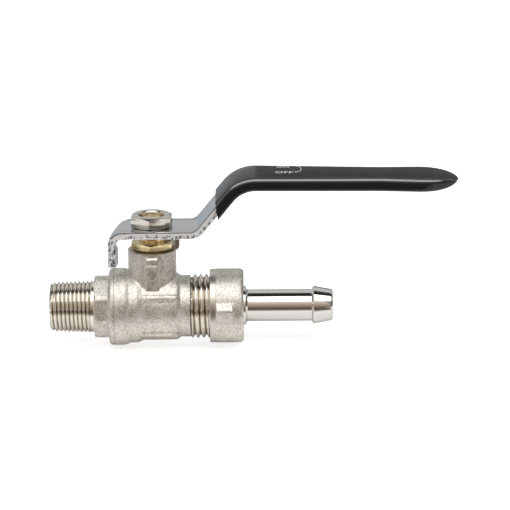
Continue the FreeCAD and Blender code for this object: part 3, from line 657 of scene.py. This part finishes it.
def makeThread(name, t, sides=132):    # a ridge wound around the pipe, held between two outlines
    start, end = t["low"][0][0], t["low"][-1][0]
    first = start - threadLead * t["pitch"]
    ridge = settle(addShape(bpy.ops.mesh.primitive_plane_add, name, size=mm,
                            location=metres((first, 0, t["crest"] - t["depth"]))))
    editAll(ridge)
    bpy.ops.mesh.merge(type="CENTER")
    for (x0, rise0), (x1, rise1) in zip(threadProfile, threadProfile[1:]):
        extrudeBy(((x1 - x0) * t["pitch"], 0, (rise1 - rise0) * t["depth"]))
    turns = math.ceil((end - start) / t["pitch"]) + 3
    modify(ridge, "SCREW", axis="X", screw_offset=t["pitch"] * mm, iterations=turns, steps=sides,
           render_steps=sides, angle=2 * math.pi, use_merge_vertices=True, merge_threshold=0.01 * mm,
           use_smooth_shade=False)
    for vertex in ridge.data.vertices:
        x, y, z = vertex.co / mm
        radius = math.hypot(y, z)
        fitted = radius + t["taper"] * (x - start)
        fitted = max(min(fitted, valueAt(t["high"], x)), valueAt(t["low"], x))
        vertex.co.y *= fitted / radius
        vertex.co.z *= fitted / radius
    editAll(ridge)
    bpy.ops.mesh.remove_doubles(threshold=0.003 * mm)
    bpy.ops.mesh.fill_holes(sides=0)
    leaveEdit()
    closeMesh(ridge)
    squareEnds(ridge, start, end, t["bore"])
    for vertex, mark in zip(ridge.data.vertices, newMarks(ridge, "crest")):
        x, y, z = vertex.co / mm
        rise = (math.hypot(y, z) - t["taper"] * (x - start) - t["crest"]) / t["depth"] + 1
        mark.value = min(max(rise, 0), 1) if math.hypot(y, z) > t["bore"] + 0.1 else t["boreMark"]
    return smoothShade(ridge, 42)


unionThread = {"pitch": 1.814, "crest": 10.48, "depth": 1.12, "taper": 0.0, "bore": 6.0, "boreMark": 0.6,
               "low": [(45.4, 9.3), (57.3, 9.3)],
               "high": [(45.4, 9.3), (45.75, 9.3), (46.1, 10.48), (56.2, 10.48), (57.2, 9.3), (57.3, 9.3)]}
inletThread = {"pitch": 1.337, "crest": 8.13, "depth": 0.82, "taper": 1 / 32, "bore": 4.75, "boreMark": 0.6,
               "low": [(0.0, 7.2), (12.6, 7.2), (13.4, 8.2), (14.6, 8.2)],
               "high": [(0.0, 7.2), (0.15, 7.45), (1.5, 8.1), (1.7, 8.6), (13.3, 8.6), (13.5, 8.28),
                        (14.6, 8.28)]}

for name, spec, node in (("unionThread", unionThread, "valve_body"),
                         ("inletThread", inletThread, "end_connector")):
    dress(makeThread(name, spec), [finish["thread"]], "housing", "blasted_nickel", node)
print("threads are cut")


# valve body

casting = {"voxel": 0.2, "softening": 3, "rootSoftening": 26, "neckRadius": 7.85, "neckTop": 19.45,
           "left": 21.1, "right": 45.6,
           "outline": [(20.8, 12.6), (24.1, 12.6), (25.0, 12.35), (25.8, 11.9), (26.3, 11.84), (28.5, 11.84),
                       (29.3, 11.5), (29.8, 11.22), (30.25, 11.0), (40.6, 11.0), (41.1, 10.98), (41.6, 10.8),
                       (42.1, 10.38), (42.5, 10.04), (45.9, 10.04)],
           "rootRadius": 11.2, "rootNeck": 1.5, "rootBarrel": 1.6, "rootLow": 3, "padAside": 2.5,
           "topCutter": 8.12, "topCut": 6,
           "neckBore": [(-1, 4.65), (10.43, 4.65), (10.43, 4.1), (13.2, 4.1), (13.2, 6.0), (19.15, 6.0),
                        (19.15, 6.0), (20.5, 7.4)],
           "flowBore": [(19, 9.45), (28.9, 9.45), (28.9, 8.55), (38.0, 8.55), (38.0, 7.54), (40.8, 7.54),
                        (40.8, 4.75), (42.8, 4.75), (45.5, 6.0), (48, 6.0)]}
rib = {"angles": (29.9, -39.0), "length": 12.2, "start": 29.5, "width": 2.1, "top": 11.75, "foot": 9.5,
       "edge": 0.75}
pad = {"middle": 0.15, "back": -6.5, "front": -8.25, "raised": -8.85, "block": (2.15, 7.2, 18.2), "edge": 0.4,
       "ledges": ((1.85, 16.9, 17.8), (1.45, 15.35, 15.9)), "oval": (1.55, 2.0, 13.1), "ovalDepth": 1.7}
lug = {"left": -4.25, "width": 6.48, "root": 6.35, "shelf": 8.2, "reach": 13.4, "low": 16.2, "high": 22.6,
       "top": 19.15}


def makeRib(angle, front):
    r = rib
    tilt = math.radians(180 - angle if front else angle)
    middle = (r["top"] + r["foot"]) / 2
    piece = addShape(bpy.ops.mesh.primitive_cube_add, "rib", size=1)
    piece.scale = metres((r["length"], r["top"] - r["foot"], r["width"]))
    piece.rotation_euler = (tilt, 0, 0)
    along = r["start"] + r["length"] / 2
    piece.location = metres((along, middle * math.cos(tilt), middle * math.sin(tilt)))
    return roundEdges(settle(piece), r["edge"], 3, 60)


def padBlock(half, low, high, front):
    place = (stemX + pad["middle"], (front + pad["back"]) / 2, (low + high) / 2)
    block = addShape(bpy.ops.mesh.primitive_cube_add, "padBlock", size=1, location=metres(place))
    block.scale = metres((2 * half, pad["back"] - front, high - low))
    return settle(block)


def padOval(wide, tall, level):
    place = (stemX + pad["middle"], pad["raised"] + pad["ovalDepth"] / 2, level)
    oval = addShape(bpy.ops.mesh.primitive_cylinder_add, "padOval", vertices=48, radius=mm,
                    depth=pad["ovalDepth"] * mm, rotation=(math.pi / 2, 0, 0), location=metres(place))
    oval.scale = (wide, tall, 1)    # the cylinder lies along Y, so its own Y is the height
    return settle(oval)


def makePad():    # the raised pad on the neck, left bare
    piece = padBlock(*pad["block"], pad["front"])
    roundEdges(piece, pad["edge"], 3, 50)
    for half, low, high in pad["ledges"]:
        combine(piece, padBlock(half, low, high, pad["raised"]), "UNION")
    return combine(piece, padOval(*pad["oval"]), "UNION")


def makeStopLug():    # behind the neck, where the lever's tab and its finger come to rest
    x, root, shelf, reach = stemX + lug["left"], lug["root"], lug["shelf"], lug["reach"]
    low, high, top = lug["low"], lug["high"], lug["top"]
    corners = [(x, root, low - 3), (x, reach - 0.5, low - 0.1), (x, reach, low + 0.5), (x, reach, high - 0.7),
               (x, reach - 0.7, high), (x, shelf + 0.5, high), (x, shelf, high - 0.6), (x, shelf, top),
               (x, root, top)]
    return outlineBlock("stopLug", corners, (lug["width"], 0, 0))


def nearRoot(place):    # the joint of neck and barrel, but not the pad's foot
    c = casting
    x, y, z = place / mm
    fromNeck = abs(math.hypot(x - stemX, y) - c["neckRadius"])
    fromBarrel = abs(math.hypot(y, z) - c["rootRadius"])
    return (z > c["rootLow"] and fromNeck < c["rootNeck"] and fromBarrel < c["rootBarrel"]
            and (y > 0 or abs(x - stemX) > c["padAside"]))


def makeCasting():
    c = casting
    body = turnOutline("bodyCasting", "X", c["outline"], 120, True)
    neck = [(0, c["neckRadius"]), (21, c["neckRadius"])]
    combine(body, turnOutline("neckBlank", "Z", neck, 120, True), "UNION")
    for angle in rib["angles"]:
        for front in (True, False):
            combine(body, makeRib(angle, front), "UNION")
    combine(body, makePad(), "UNION")
    combine(body, makeStopLug(), "UNION")
    modify(body, "REMESH", mode="VOXEL", voxel_size=c["voxel"] * mm, use_smooth_shade=True)
    root = body.vertex_groups.new(name="root")    # softened most
    root.add([vertex.index for vertex in body.data.vertices if nearRoot(vertex.co)], 1.0, "REPLACE")
    modify(body, "SMOOTH", factor=0.6, iterations=c["rootSoftening"], vertex_group="root")
    modify(body, "SMOOTH", factor=0.5, iterations=c["softening"])
    sliceAt(body, (c["left"], 0, 0), (-1, 0, 0))
    sliceAt(body, (c["right"], 0, 0), (1, 0, 0))
    # the neck's top is cut flat and clean, but the lug behind it stays
    cutter = addShape(bpy.ops.mesh.primitive_cylinder_add, "topCutter", vertices=96,
                      radius=c["topCutter"] * mm, depth=c["topCut"] * mm,
                      location=metres((stemX, 0, c["neckTop"] + c["topCut"] / 2)))
    combine(body, settle(cutter), "DIFFERENCE")
    combine(body, turnOutline("passage", "Z", c["neckBore"], 120, True), "DIFFERENCE")
    combine(body, turnOutline("flow", "X", c["flowBore"], 120, True), "DIFFERENCE")
    smoothShade(body, 50)
    dress(body, [finish["blasted"]], "housing", "blasted_nickel", "valve_body")


makeCasting()
print("valve body is cast and bored")


# inlet connector

connector = {"voxel": 0.2, "softening": 3, "flats": 19.5, "turn": 13.8, "left": 13.7, "length": 6.1,
             "cone": [(13.7, 9.0), (14.9, 10.3), (19.8, 10.3)],
             "flange": [(19.3, 11.9), (19.75, 12.45), (20.3, 12.6), (21.6, 12.6)],
             "keepFrom": 14.43, "keepTo": 20.95, "bore": 4.75,
             "spigot": [(20.9, 4.75), (20.9, 11.9), (21.05, 11.9), (21.05, 9.4), (28.8, 9.4), (28.8, 7.54),
                        (26.0, 7.54), (26.0, 4.75), (20.9, 4.75)]}


def polar(radius, degrees):    # a place around the pipe, turned from +Y towards +Z
    return radius * math.cos(math.radians(degrees)), radius * math.sin(math.radians(degrees))


def makeConnector():
    c = connector
    across = c["flats"] / 2 / math.cos(math.radians(22.5))
    corners = [(c["left"], *polar(across, c["turn"] + 45 * i)) for i in range(8)]
    octagon = outlineBlock("connectorCasting", corners, (c["length"], 0, 0))
    combine(octagon, turnOutline("octagonRound", "X", c["cone"], 96, True), "INTERSECT")
    combine(octagon, turnOutline("flange", "X", c["flange"], 120, True), "UNION")
    softCast(octagon, c["voxel"], c["softening"])
    sleeveCut(octagon, c["keepFrom"], c["keepTo"], c["bore"])
    joinPieces([octagon, turnOutline("spigot", "X", c["spigot"], 120)])
    smoothShade(octagon, 50)
    dress(octagon, [finish["blasted"]], "housing", "blasted_nickel", "end_connector")


makeConnector()
print("inlet connector is done")


# union nut

unionNut = {"voxel": 0.2, "softening": 5, "left": 52.0, "right": 63.0, "band": 2.05, "radius": 12.1,
            "outline": [(61.7, 12.1), (62.45, 11.85), (62.85, 11.4), (63.5, 11.0)], "bore": 6.46,
            "threadRadius": 10.6, "threadTo": 60.85,
            "lug": [(11.0, 158.5), (12.05, 160.0), (12.7, 165.4), (13.35, 170.9), (13.4, 172.3),
                    (13.05, 178.0), (12.65, 186.0), (12.35, 187.6), (11.0, 188.4)],
            "lugStart": 54.15, "lugLength": 5.4}


def makeUnionNut():
    n = unionNut
    left, split, inner = n["left"], n["left"] + n["band"], n["threadRadius"]
    nut = turnOutline("unionNut", "X", [(split - 0.6, n["radius"]), *n["outline"]], 144, True)
    for turn in (0, 180):
        corners = [(n["lugStart"], *polar(radius, degrees + turn)) for radius, degrees in n["lug"]]
        combine(nut, outlineBlock("nutLug", corners, (n["lugLength"], 0, 0)), "UNION")
    softCast(nut, n["voxel"], n["softening"])
    sleeveCut(nut, split, n["right"], n["bore"])
    bore = [(split - 2, inner), (n["threadTo"], inner)]
    combine(nut, turnOutline("nutBore", "X", bore, 144, True), "DIFFERENCE")
    smoothShade(nut, 50)
    nut.data.materials.append(finish["blasted"])
    edge = [(split, inner), (left + 0.1, inner), (left, 10.75), (left, 11.8), (left + 0.2, 12.0),
            (split - 0.12, 12.0), (split, 12.08), (split, inner)]
    rim = turnOutline("nutRim", "X", edge, 144)
    smoothShade(rim, 30)
    rim.data.materials.append(finish["turned"])
    joinPieces([nut, rim])
    dress(nut, [], "union_nut", "blasted_nickel", "union_nut")


makeUnionNut()
print("union nut is done")


# hose tail

tail = {"outline": [(58.8, 4.55), (58.8, 9.0), (59.0, 9.2), (60.8, 9.2), (60.8, 6.34), (63.65, 6.34),
                    (63.75, 6.2), (64.0, 5.45), (64.3, 5.2), (85.15, 5.2), (85.3, 5.35), (85.6, 6.0),
                    (85.85, 6.15), (86.4, 6.1), (91.3, 5.18), (91.7, 5.06), (91.93, 4.88), (92.04, 4.68),
                    (92.1, 4.4), (92.1, 4.0), (91.85, 3.75), (59.6, 3.75), (58.8, 4.55)], "edge": 0.08}


def makeTail():
    piece = turnOutline("hoseTail", "X", tail["outline"], 192)
    roundEdges(piece, tail["edge"], 2, 40)
    smoothShade(piece, 35)
    dress(piece, [finish["bright"]], "hose_tail", "bright_plate", "hose_tail")


makeTail()
print("hose tail is turned")


# lever and grip

lever = {"thick": 2.5, "half": 8.75, "tailX": 20.65, "tailLow": 15.6, "midZ": 25.95, "footX": 48.0,
         "headX": 61.76, "headZ": 42.88, "tipX": 131.56, "tipZ": 41.90, "hiddenTo": 127.2,
         "bends": (3.3, 4.75, 11.25), "across": 4, "endRadius": 8.0, "slant": 0.91, "edge": 0.22,
         "holeRadius": 4.05, "holeHalf": 2.75, "fingerTwist": 10.0, "fingerTop": 22.4, "fingerTo": 24,
         "fingerBack": -4.7, "tornBelow": 24.8,
         "backEdge": [(-14.5, -4.7), (-12.4, -4.7), (-12.0, -4.0), (-11.4, -2.2), (-10.9, 0.6), (-10.2, 4.2),
                      (-9.3, 6.4), (-8.0, 8.4), (-7.4, 8.75)],
         "halfWidth": [(-20, 8.75), (20, 8.75), (30, 8.5), (37.4, 8.2), (61, 7.5), (74, 7.05), (81, 7.55),
                       (87, 7.95), (90.5, 8.0), (120, 8.0)]}
stopTab = {"path": [(7.4, 25.95), (9.5, 25.95), (9.5, 15.8)], "bend": 1.75, "far": 8.75, "near": 2.35,
           "corner": 2.5, "cornerFrom": 18.3, "edge": 0.3, "torn": 0.5}


def bentPath(points, radii, arcSteps=10, spacing=1.6):    # corner points in the XZ plane, joined by arcs
    line = [Vector(points[0])]
    for corner, before, after, radius in zip(points[1:-1], points, points[2:], radii):
        corner, before, after = Vector(corner), Vector(before), Vector(after)
        back = (before - corner).normalized()
        ahead = (after - corner).normalized()
        half = back.angle(ahead) / 2
        reach = radius / math.tan(half)
        centre = corner + (back + ahead).normalized() * radius / math.sin(half)
        start, end = corner + back * reach, corner + ahead * reach
        addStraight(line, start, spacing)
        first = start - centre
        turn = first.angle_signed(end - centre)
        for i in range(1, arcSteps + 1):
            spin = Matrix.Rotation(-turn * i / arcSteps, 2)
            line.append(centre + spin @ first)
    addStraight(line, Vector(points[-1]), spacing)
    return line


def addStraight(line, end, spacing):
    start = line[-1]
    count = max(1, round((end - start).length / spacing))
    for i in range(1, count + 1):
        line.append(start.lerp(end, i / count))


def rowSheet(name, rows, along, across):    # rows of (x, z, y low, y high); along "X", it is turned a quarter
    piece = settle(addShape(bpy.ops.mesh.primitive_grid_add, name, x_subdivisions=1, y_subdivisions=across,
                            size=2 * mm))
    editWhere(piece, lambda vertex: vertex.co.x > 0)
    bpy.ops.mesh.delete(type="VERT")
    leaveEdit()
    a, b, low, high = rows[0]
    editAll(piece)
    place = Vector((a, (low + high) / 2, b)) * mm
    bpy.ops.transform.translate(value=place + Vector((mm, 0, 0)))
    bpy.ops.transform.resize(value=(1, (high - low) / 2, 1), center_override=place)
    for (a0, b0, low0, high0), (a1, b1, low1, high1) in zip(rows, rows[1:]):
        shift = (high1 + low1 - high0 - low0) / 2
        extrudeBy((a1 - a0, shift, b1 - b0))
        centre = metres((a1, (high1 + low1) / 2, b1))
        bpy.ops.transform.resize(value=(1, (high1 - low1) / (high0 - low0), 1), center_override=centre)
    leaveEdit()
    if along == "X":
        piece.rotation_euler = (0, 0, math.pi / 2)
        settle(piece)
    return closeMesh(piece)


def leverPath():
    v = lever
    points = [(v["tailX"], v["tailLow"]), (v["tailX"], v["midZ"]), (v["footX"], v["midZ"]),
              (v["headX"], v["headZ"]), (v["tipX"], v["tipZ"])]
    return bentPath(points, v["bends"])


def leverRows(path):    # plan widths along the path, with a round end
    v = lever
    rows = []
    for x, z in path:
        if x > v["tipX"] - v["endRadius"]:
            break
        back = valueAt(v["backEdge"], x - stemX)
        if z < v["midZ"] - v["bends"][0] and x < stemX:
            back = v["fingerBack"]
        half = valueAt(v["halfWidth"], x - stemX)
        rows.append((x, z, -half, min(back, half)))
    slope = (v["tipZ"] - v["headZ"]) / (v["tipX"] - v["headX"])
    for i in range(15):
        angle = math.radians(i * 6)
        x = v["tipX"] - v["endRadius"] * (1 - math.sin(angle))
        half = v["endRadius"] * math.cos(angle)
        rows.append((x, v["headZ"] + (x - v["headX"]) * slope, -half, half))
    return rows


def thicken(sheet):    # its faces are plated and its rim is sheared
    sheet.data.materials.append(finish["lever"])
    sheet.data.materials.append(finish["sheared"])
    return modify(sheet, "SOLIDIFY", thickness=lever["thick"] * mm, offset=0, use_even_offset=True,
                  material_offset_rim=1)


def makeStopTab():    # bent down from the lever's back edge, with two round corners
    t = stopTab
    rows = []
    for y, z in bentPath(t["path"], [t["bend"]], 8, 1.0):
        corner = min(max((t["cornerFrom"] - z) / t["corner"], 0), 1)
        shrink = t["corner"] * (1 - math.sqrt(max(1 - corner * corner, 0)))
        rows.append((y, z, -(stemX + t["far"] - shrink), -(stemX + t["near"] + shrink * 0.5)))
    tab = thicken(rowSheet("stopTab", rows, "X", 4))
    roundEdges(tab, t["edge"], 3, 50)
    for mark in newMarks(tab, "depth"):
        mark.value = t["torn"]
    return tab


def makeLever():
    v = lever
    plate = rowSheet("leverPlate", leverRows(leverPath()), "Y", v["across"])
    # the finger is bent a little out of square, so that its inner face shows
    editWhere(plate, lambda vertex: vertex.co.z < v["fingerTop"] * mm and vertex.co.x < v["fingerTo"] * mm)
    bpy.ops.transform.rotate(value=math.radians(v["fingerTwist"]), orient_axis="Z",
                             center_override=metres((v["tailX"], -v["half"], 20)))
    leaveEdit()
    count = len(plate.data.vertices)
    thicken(plate)
    second = plate.data.vertices[count].co.x > plate.data.vertices[0].co.x
    for vertex, mark in zip(plate.data.vertices, newMarks(plate, "depth")):
        mark.value = 0.0 if (vertex.index >= count) == second else 1.0
        if vertex.co.z < v["tornBelow"] * mm and vertex.co.x < v["fingerTo"] * mm:
            mark.value = sheared["tornAt"]    # the finger is torn all over
    # the underside is a little narrower, so that the sheared edge slants
    editWhere(plate, lambda vertex: (vertex.index >= count) == second)
    bpy.ops.transform.resize(value=(1, v["slant"], 1), center_override=(0, 0, 0))
    leaveEdit()
    hole = settle(addShape(bpy.ops.mesh.primitive_cylinder_add, "stemHole", vertices=64, depth=8 * mm,
                           radius=v["holeRadius"] * mm, location=metres((stemX, 0, v["midZ"]))))
    sliceAt(hole, (stemX + v["holeHalf"], 0, 0), (1, 0, 0))
    sliceAt(hole, (stemX - v["holeHalf"], 0, 0), (-1, 0, 0))
    combine(plate, hole, "DIFFERENCE")
    sliceAt(plate, (v["hiddenTo"], 0, 0), (1, 0, 0))    # further on, the grip is thinner than the plate
    roundEdges(plate, v["edge"], 2, 50)
    joinPieces([plate, makeStopTab()])
    smoothShade(plate, 40)
    dress(plate, [], "lever_assembly", "plated_lever", "lever")


grip = {"skin": 1.0, "low": -2.25, "high": 2.25, "lowRadius": 1.6, "highRadius": 1.7, "from": 14.0,
        "cutTop": (20.75, 37.08), "cutLow": (21.75, 31.23), "edge": 0.3, "tipGap": 0.8, "tipLift": 0.35,
        # towards the tip: the way in from it, half the width, share of the thickness
        "tip": [(0.0, 0.45, 0.04), (0.06, 0.95, 0.08), (0.35, 2.3, 0.16), (0.8, 3.4, 0.26), (1.5, 4.6, 0.38),
                (2.5, 5.7, 0.52), (3.6, 6.6, 0.64), (5.0, 7.4, 0.77), (6.8, 8.1, 0.88), (8.6, 8.55, 0.95),
                (10.5, 8.85, 0.985), (12.5, 9.0, 1.0)]}


def roundedSection(half, low, high, lowRadius, highRadius, steps=7):
    points = []
    for side, level, radius, first in ((half - highRadius, high - highRadius, highRadius, 0),
                                       (highRadius - half, high - highRadius, highRadius, 90),
                                       (lowRadius - half, low + lowRadius, lowRadius, 180),
                                       (half - lowRadius, low + lowRadius, lowRadius, 270)):
        for i in range(steps + 1):
            angle = math.radians(first + 90 * i / steps)
            points.append((side + radius * math.cos(angle), level + radius * math.sin(angle)))
    return points


def sweepSection(name, points, stations):    # each station is (x, z, tilt, half width, thickness)
    x, z, tilt = stations[0][:3]
    corners = [(x - up * math.sin(tilt), side, z + up * math.cos(tilt)) for side, up in points]
    piece = outlineBlock(name, corners, (0, 0, 0))
    editWhere(piece, lambda face: face.index == 0, "FACE")
    selectAll()
    for (x0, z0, tilt0, wide0, thick0), (x1, z1, tilt1, wide1, thick1) in zip(stations, stations[1:]):
        extrudeBy((x1 - x0, 0, z1 - z0))
        centre = metres((x1, 0, z1))
        if abs(tilt1 - tilt0) > 1e-6:
            bpy.ops.transform.rotate(value=tilt1 - tilt0, orient_axis="Y", center_override=centre)
        bpy.ops.transform.resize(value=(1, wide1 / wide0, thick1 / thick0), center_override=centre)
    return closeMesh(piece)


def makeGrip():
    g, v = grip, lever
    path = leverPath()
    tip = v["tipX"] + g["skin"]
    stations = []
    for before, point, after in zip(path, path[1:], path[2:]):
        x, z = point
        if x - stemX < g["from"] or x > tip - g["tip"][-1][0] - g["tipGap"]:
            continue
        tilt = math.atan2(after.y - before.y, after.x - before.x)
        stations.append((x, z, tilt, valueAt(v["halfWidth"], x - stemX) + g["skin"], 1.0))
    slope = (v["tipZ"] - v["headZ"]) / (v["tipX"] - v["headX"])
    for inward, half, thick in reversed(g["tip"]):
        x = tip - inward
        level = v["headZ"] + (x - v["headX"]) * slope + g["tipLift"] * (1 - thick)
        stations.append((x, level, math.atan(slope), half, thick))
    section = roundedSection(stations[0][3], g["low"], g["high"], g["lowRadius"], g["highRadius"])
    piece = sweepSection("leverGrip", section, stations)
    (topX, topZ), (lowX, lowZ) = g["cutTop"], g["cutLow"]    # the vinyl ends where the handle was dipped
    sliceAt(piece, (stemX + topX, 0, topZ), (lowZ - topZ, 0, topX - lowX))
    roundEdges(piece, g["edge"], 3, 60)
    for vertex, mark in zip(piece.data.vertices, newMarks(piece, "rise")):
        place = vertex.co / mm
        near = min(stations, key=lambda row: (row[0] - place.x) ** 2 + (row[1] - place.z) ** 2)
        rise = (place.z - near[1]) * math.cos(near[2]) - (place.x - near[0]) * math.sin(near[2])
        mark.value = rise / (g["high"] * near[4])
    smoothShade(piece, 60)
    dress(piece, [finish["vinyl"]], "lever_assembly", "black_vinyl", "lever_grip")


printing = {"lines": (("OFF", 40.2, 45.9, -2.5, 0.0), ("ON", 40.6, 44.7, 4.7, 7.2)), "level": 44.96,
            "lean": 0.8, "thick": 0.04, "bold": 0.025, "arc": (46.8, 3.1, 3.8), "arcWidth": 0.5,
            "arcSquash": 0.47, "head": 0.62}


def makePrint():    # white lettering and a curved arrow between the two words
    g = printing
    pieces = []
    for word, left, right, near, far in g["lines"]:
        clearSelection()
        bpy.ops.object.text_add()
        bpy.context.active_object.data.body = word
        bpy.context.active_object.data.offset = g["bold"]
        bpy.ops.object.convert(target="MESH")
        text = nameActive("gripPrint")
        xs = [vertex.co.x for vertex in text.data.vertices]
        ys = [vertex.co.y for vertex in text.data.vertices]
        text.scale = ((right - left) * mm / (max(xs) - min(xs)), (far - near) * mm / (max(ys) - min(ys)), 1)
        text.location = ((stemX + left) * mm - min(xs) * text.scale[0],
                         near * mm - min(ys) * text.scale[1], 0)
        pieces.append(settle(text))
    x, y, radius = g["arc"]
    centre = metres((stemX + x, y, 0))
    arc = settle(addShape(bpy.ops.mesh.primitive_plane_add, "printArc", size=g["arcWidth"] * mm,
                          location=(centre[0], centre[1] + radius * mm, 0)))
    editWhere(arc, lambda vertex: vertex.co.x > centre[0])
    bpy.ops.mesh.delete(type="VERT")
    selectAll()
    bpy.ops.mesh.spin(steps=28, angle=math.pi, center=centre, axis=(0, 0, 1))
    selectAll()
    bpy.ops.transform.resize(value=(g["arcSquash"], 1, 1), center_override=centre)
    leaveEdit()
    pieces.append(arc)
    head = addShape(bpy.ops.mesh.primitive_circle_add, "printHead", vertices=3, fill_type="NGON",
                    radius=g["head"] * mm, rotation=(0, 0, math.pi / 2),
                    location=(centre[0] - 0.1 * mm, centre[1] - radius * mm, 0))
    pieces.append(settle(head))
    piece = joinPieces(pieces)
    editAll(piece)
    bpy.ops.mesh.remove_doubles(threshold=0.001 * mm)
    extrudeBy((0, 0, g["thick"]))
    selectAll()
    faceOutwards()
    lean = Matrix.Rotation(math.radians(g["lean"]), 4, "Y")
    piece.matrix_world = Matrix.Translation((centre[0], 0, g["level"] * mm)) @ lean @ \
        Matrix.Translation((-centre[0], 0, 0))
    settle(piece)
    dress(piece, [finish["print"]], "lever_assembly", "black_vinyl")


makeLever()
makeGrip()
makePrint()
print("lever and grip are bent")


# nuts on the stem; cone and bore are pairs of (rise, radius), from the low end and then from the high end

leverNut = {"low": 27.2, "thick": 3.9, "turn": -3.8, "flats": 12.8, "edge": 0.14,
            "cone": ([(-0.01, 6.0), (0.85, 7.5)], [(-0.8, 7.5), (0.01, 6.1)]),
            "bore": ([(-1, 4.05)], [(-0.4, 4.05), (0.2, 4.7)])}
gland = {"low": 20.3, "thick": 2.1, "turn": -1.5, "flats": 13.0, "edge": 0.12,
         "cone": ([(-0.01, 6.6), (0.4, 7.6)], [(-0.55, 7.6), (0.01, 6.3)]),
         "bore": ([(-1, 4.1)], [(1, 4.1)])}


def makeHexNut(name, n):
    low, high = n["low"], n["low"] + n["thick"]
    nut = addShape(bpy.ops.mesh.primitive_cylinder_add, name, vertices=6, depth=n["thick"] * mm,
                   radius=n["flats"] / math.sqrt(3) * mm, location=metres((stemX, 0, low + n["thick"] / 2)))
    nut.rotation_euler = (0, 0, math.radians(n["turn"]))
    settle(nut)
    for key, operation in (("cone", "INTERSECT"), ("bore", "DIFFERENCE")):
        outline = [(end + rise, radius) for end, part in zip((low, high), n[key]) for rise, radius in part]
        combine(nut, turnOutline(name + key.title(), "Z", outline, 96, True), operation)
    roundEdges(nut, n["edge"], 3, 20)
    return smoothShade(nut, 35)


dress(makeHexNut("leverNut", leverNut), [finish["nut"]], "lever_assembly", "plated_nut", "lever_nut")
dress(makeHexNut("glandNut", gland), [finish["brass"]], "housing", "bare_brass", "gland_nut")
print("nuts are done")


# CAD nodes that stay as they are

kept = {"stem": "brass", "ball": "bright", "seat_ring_inlet": "seat", "seat_ring_outlet": "seat",
        "stem_thrust_washer": "seat", "packing_ring_lower": "seat", "packing_ring_middle": "seat",
        "packing_ring_upper": "seat", "union_gasket": "rubber"}
for node, name in kept.items():
    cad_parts[node].data.materials.clear()
    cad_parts[node].data.materials.append(finish[name])
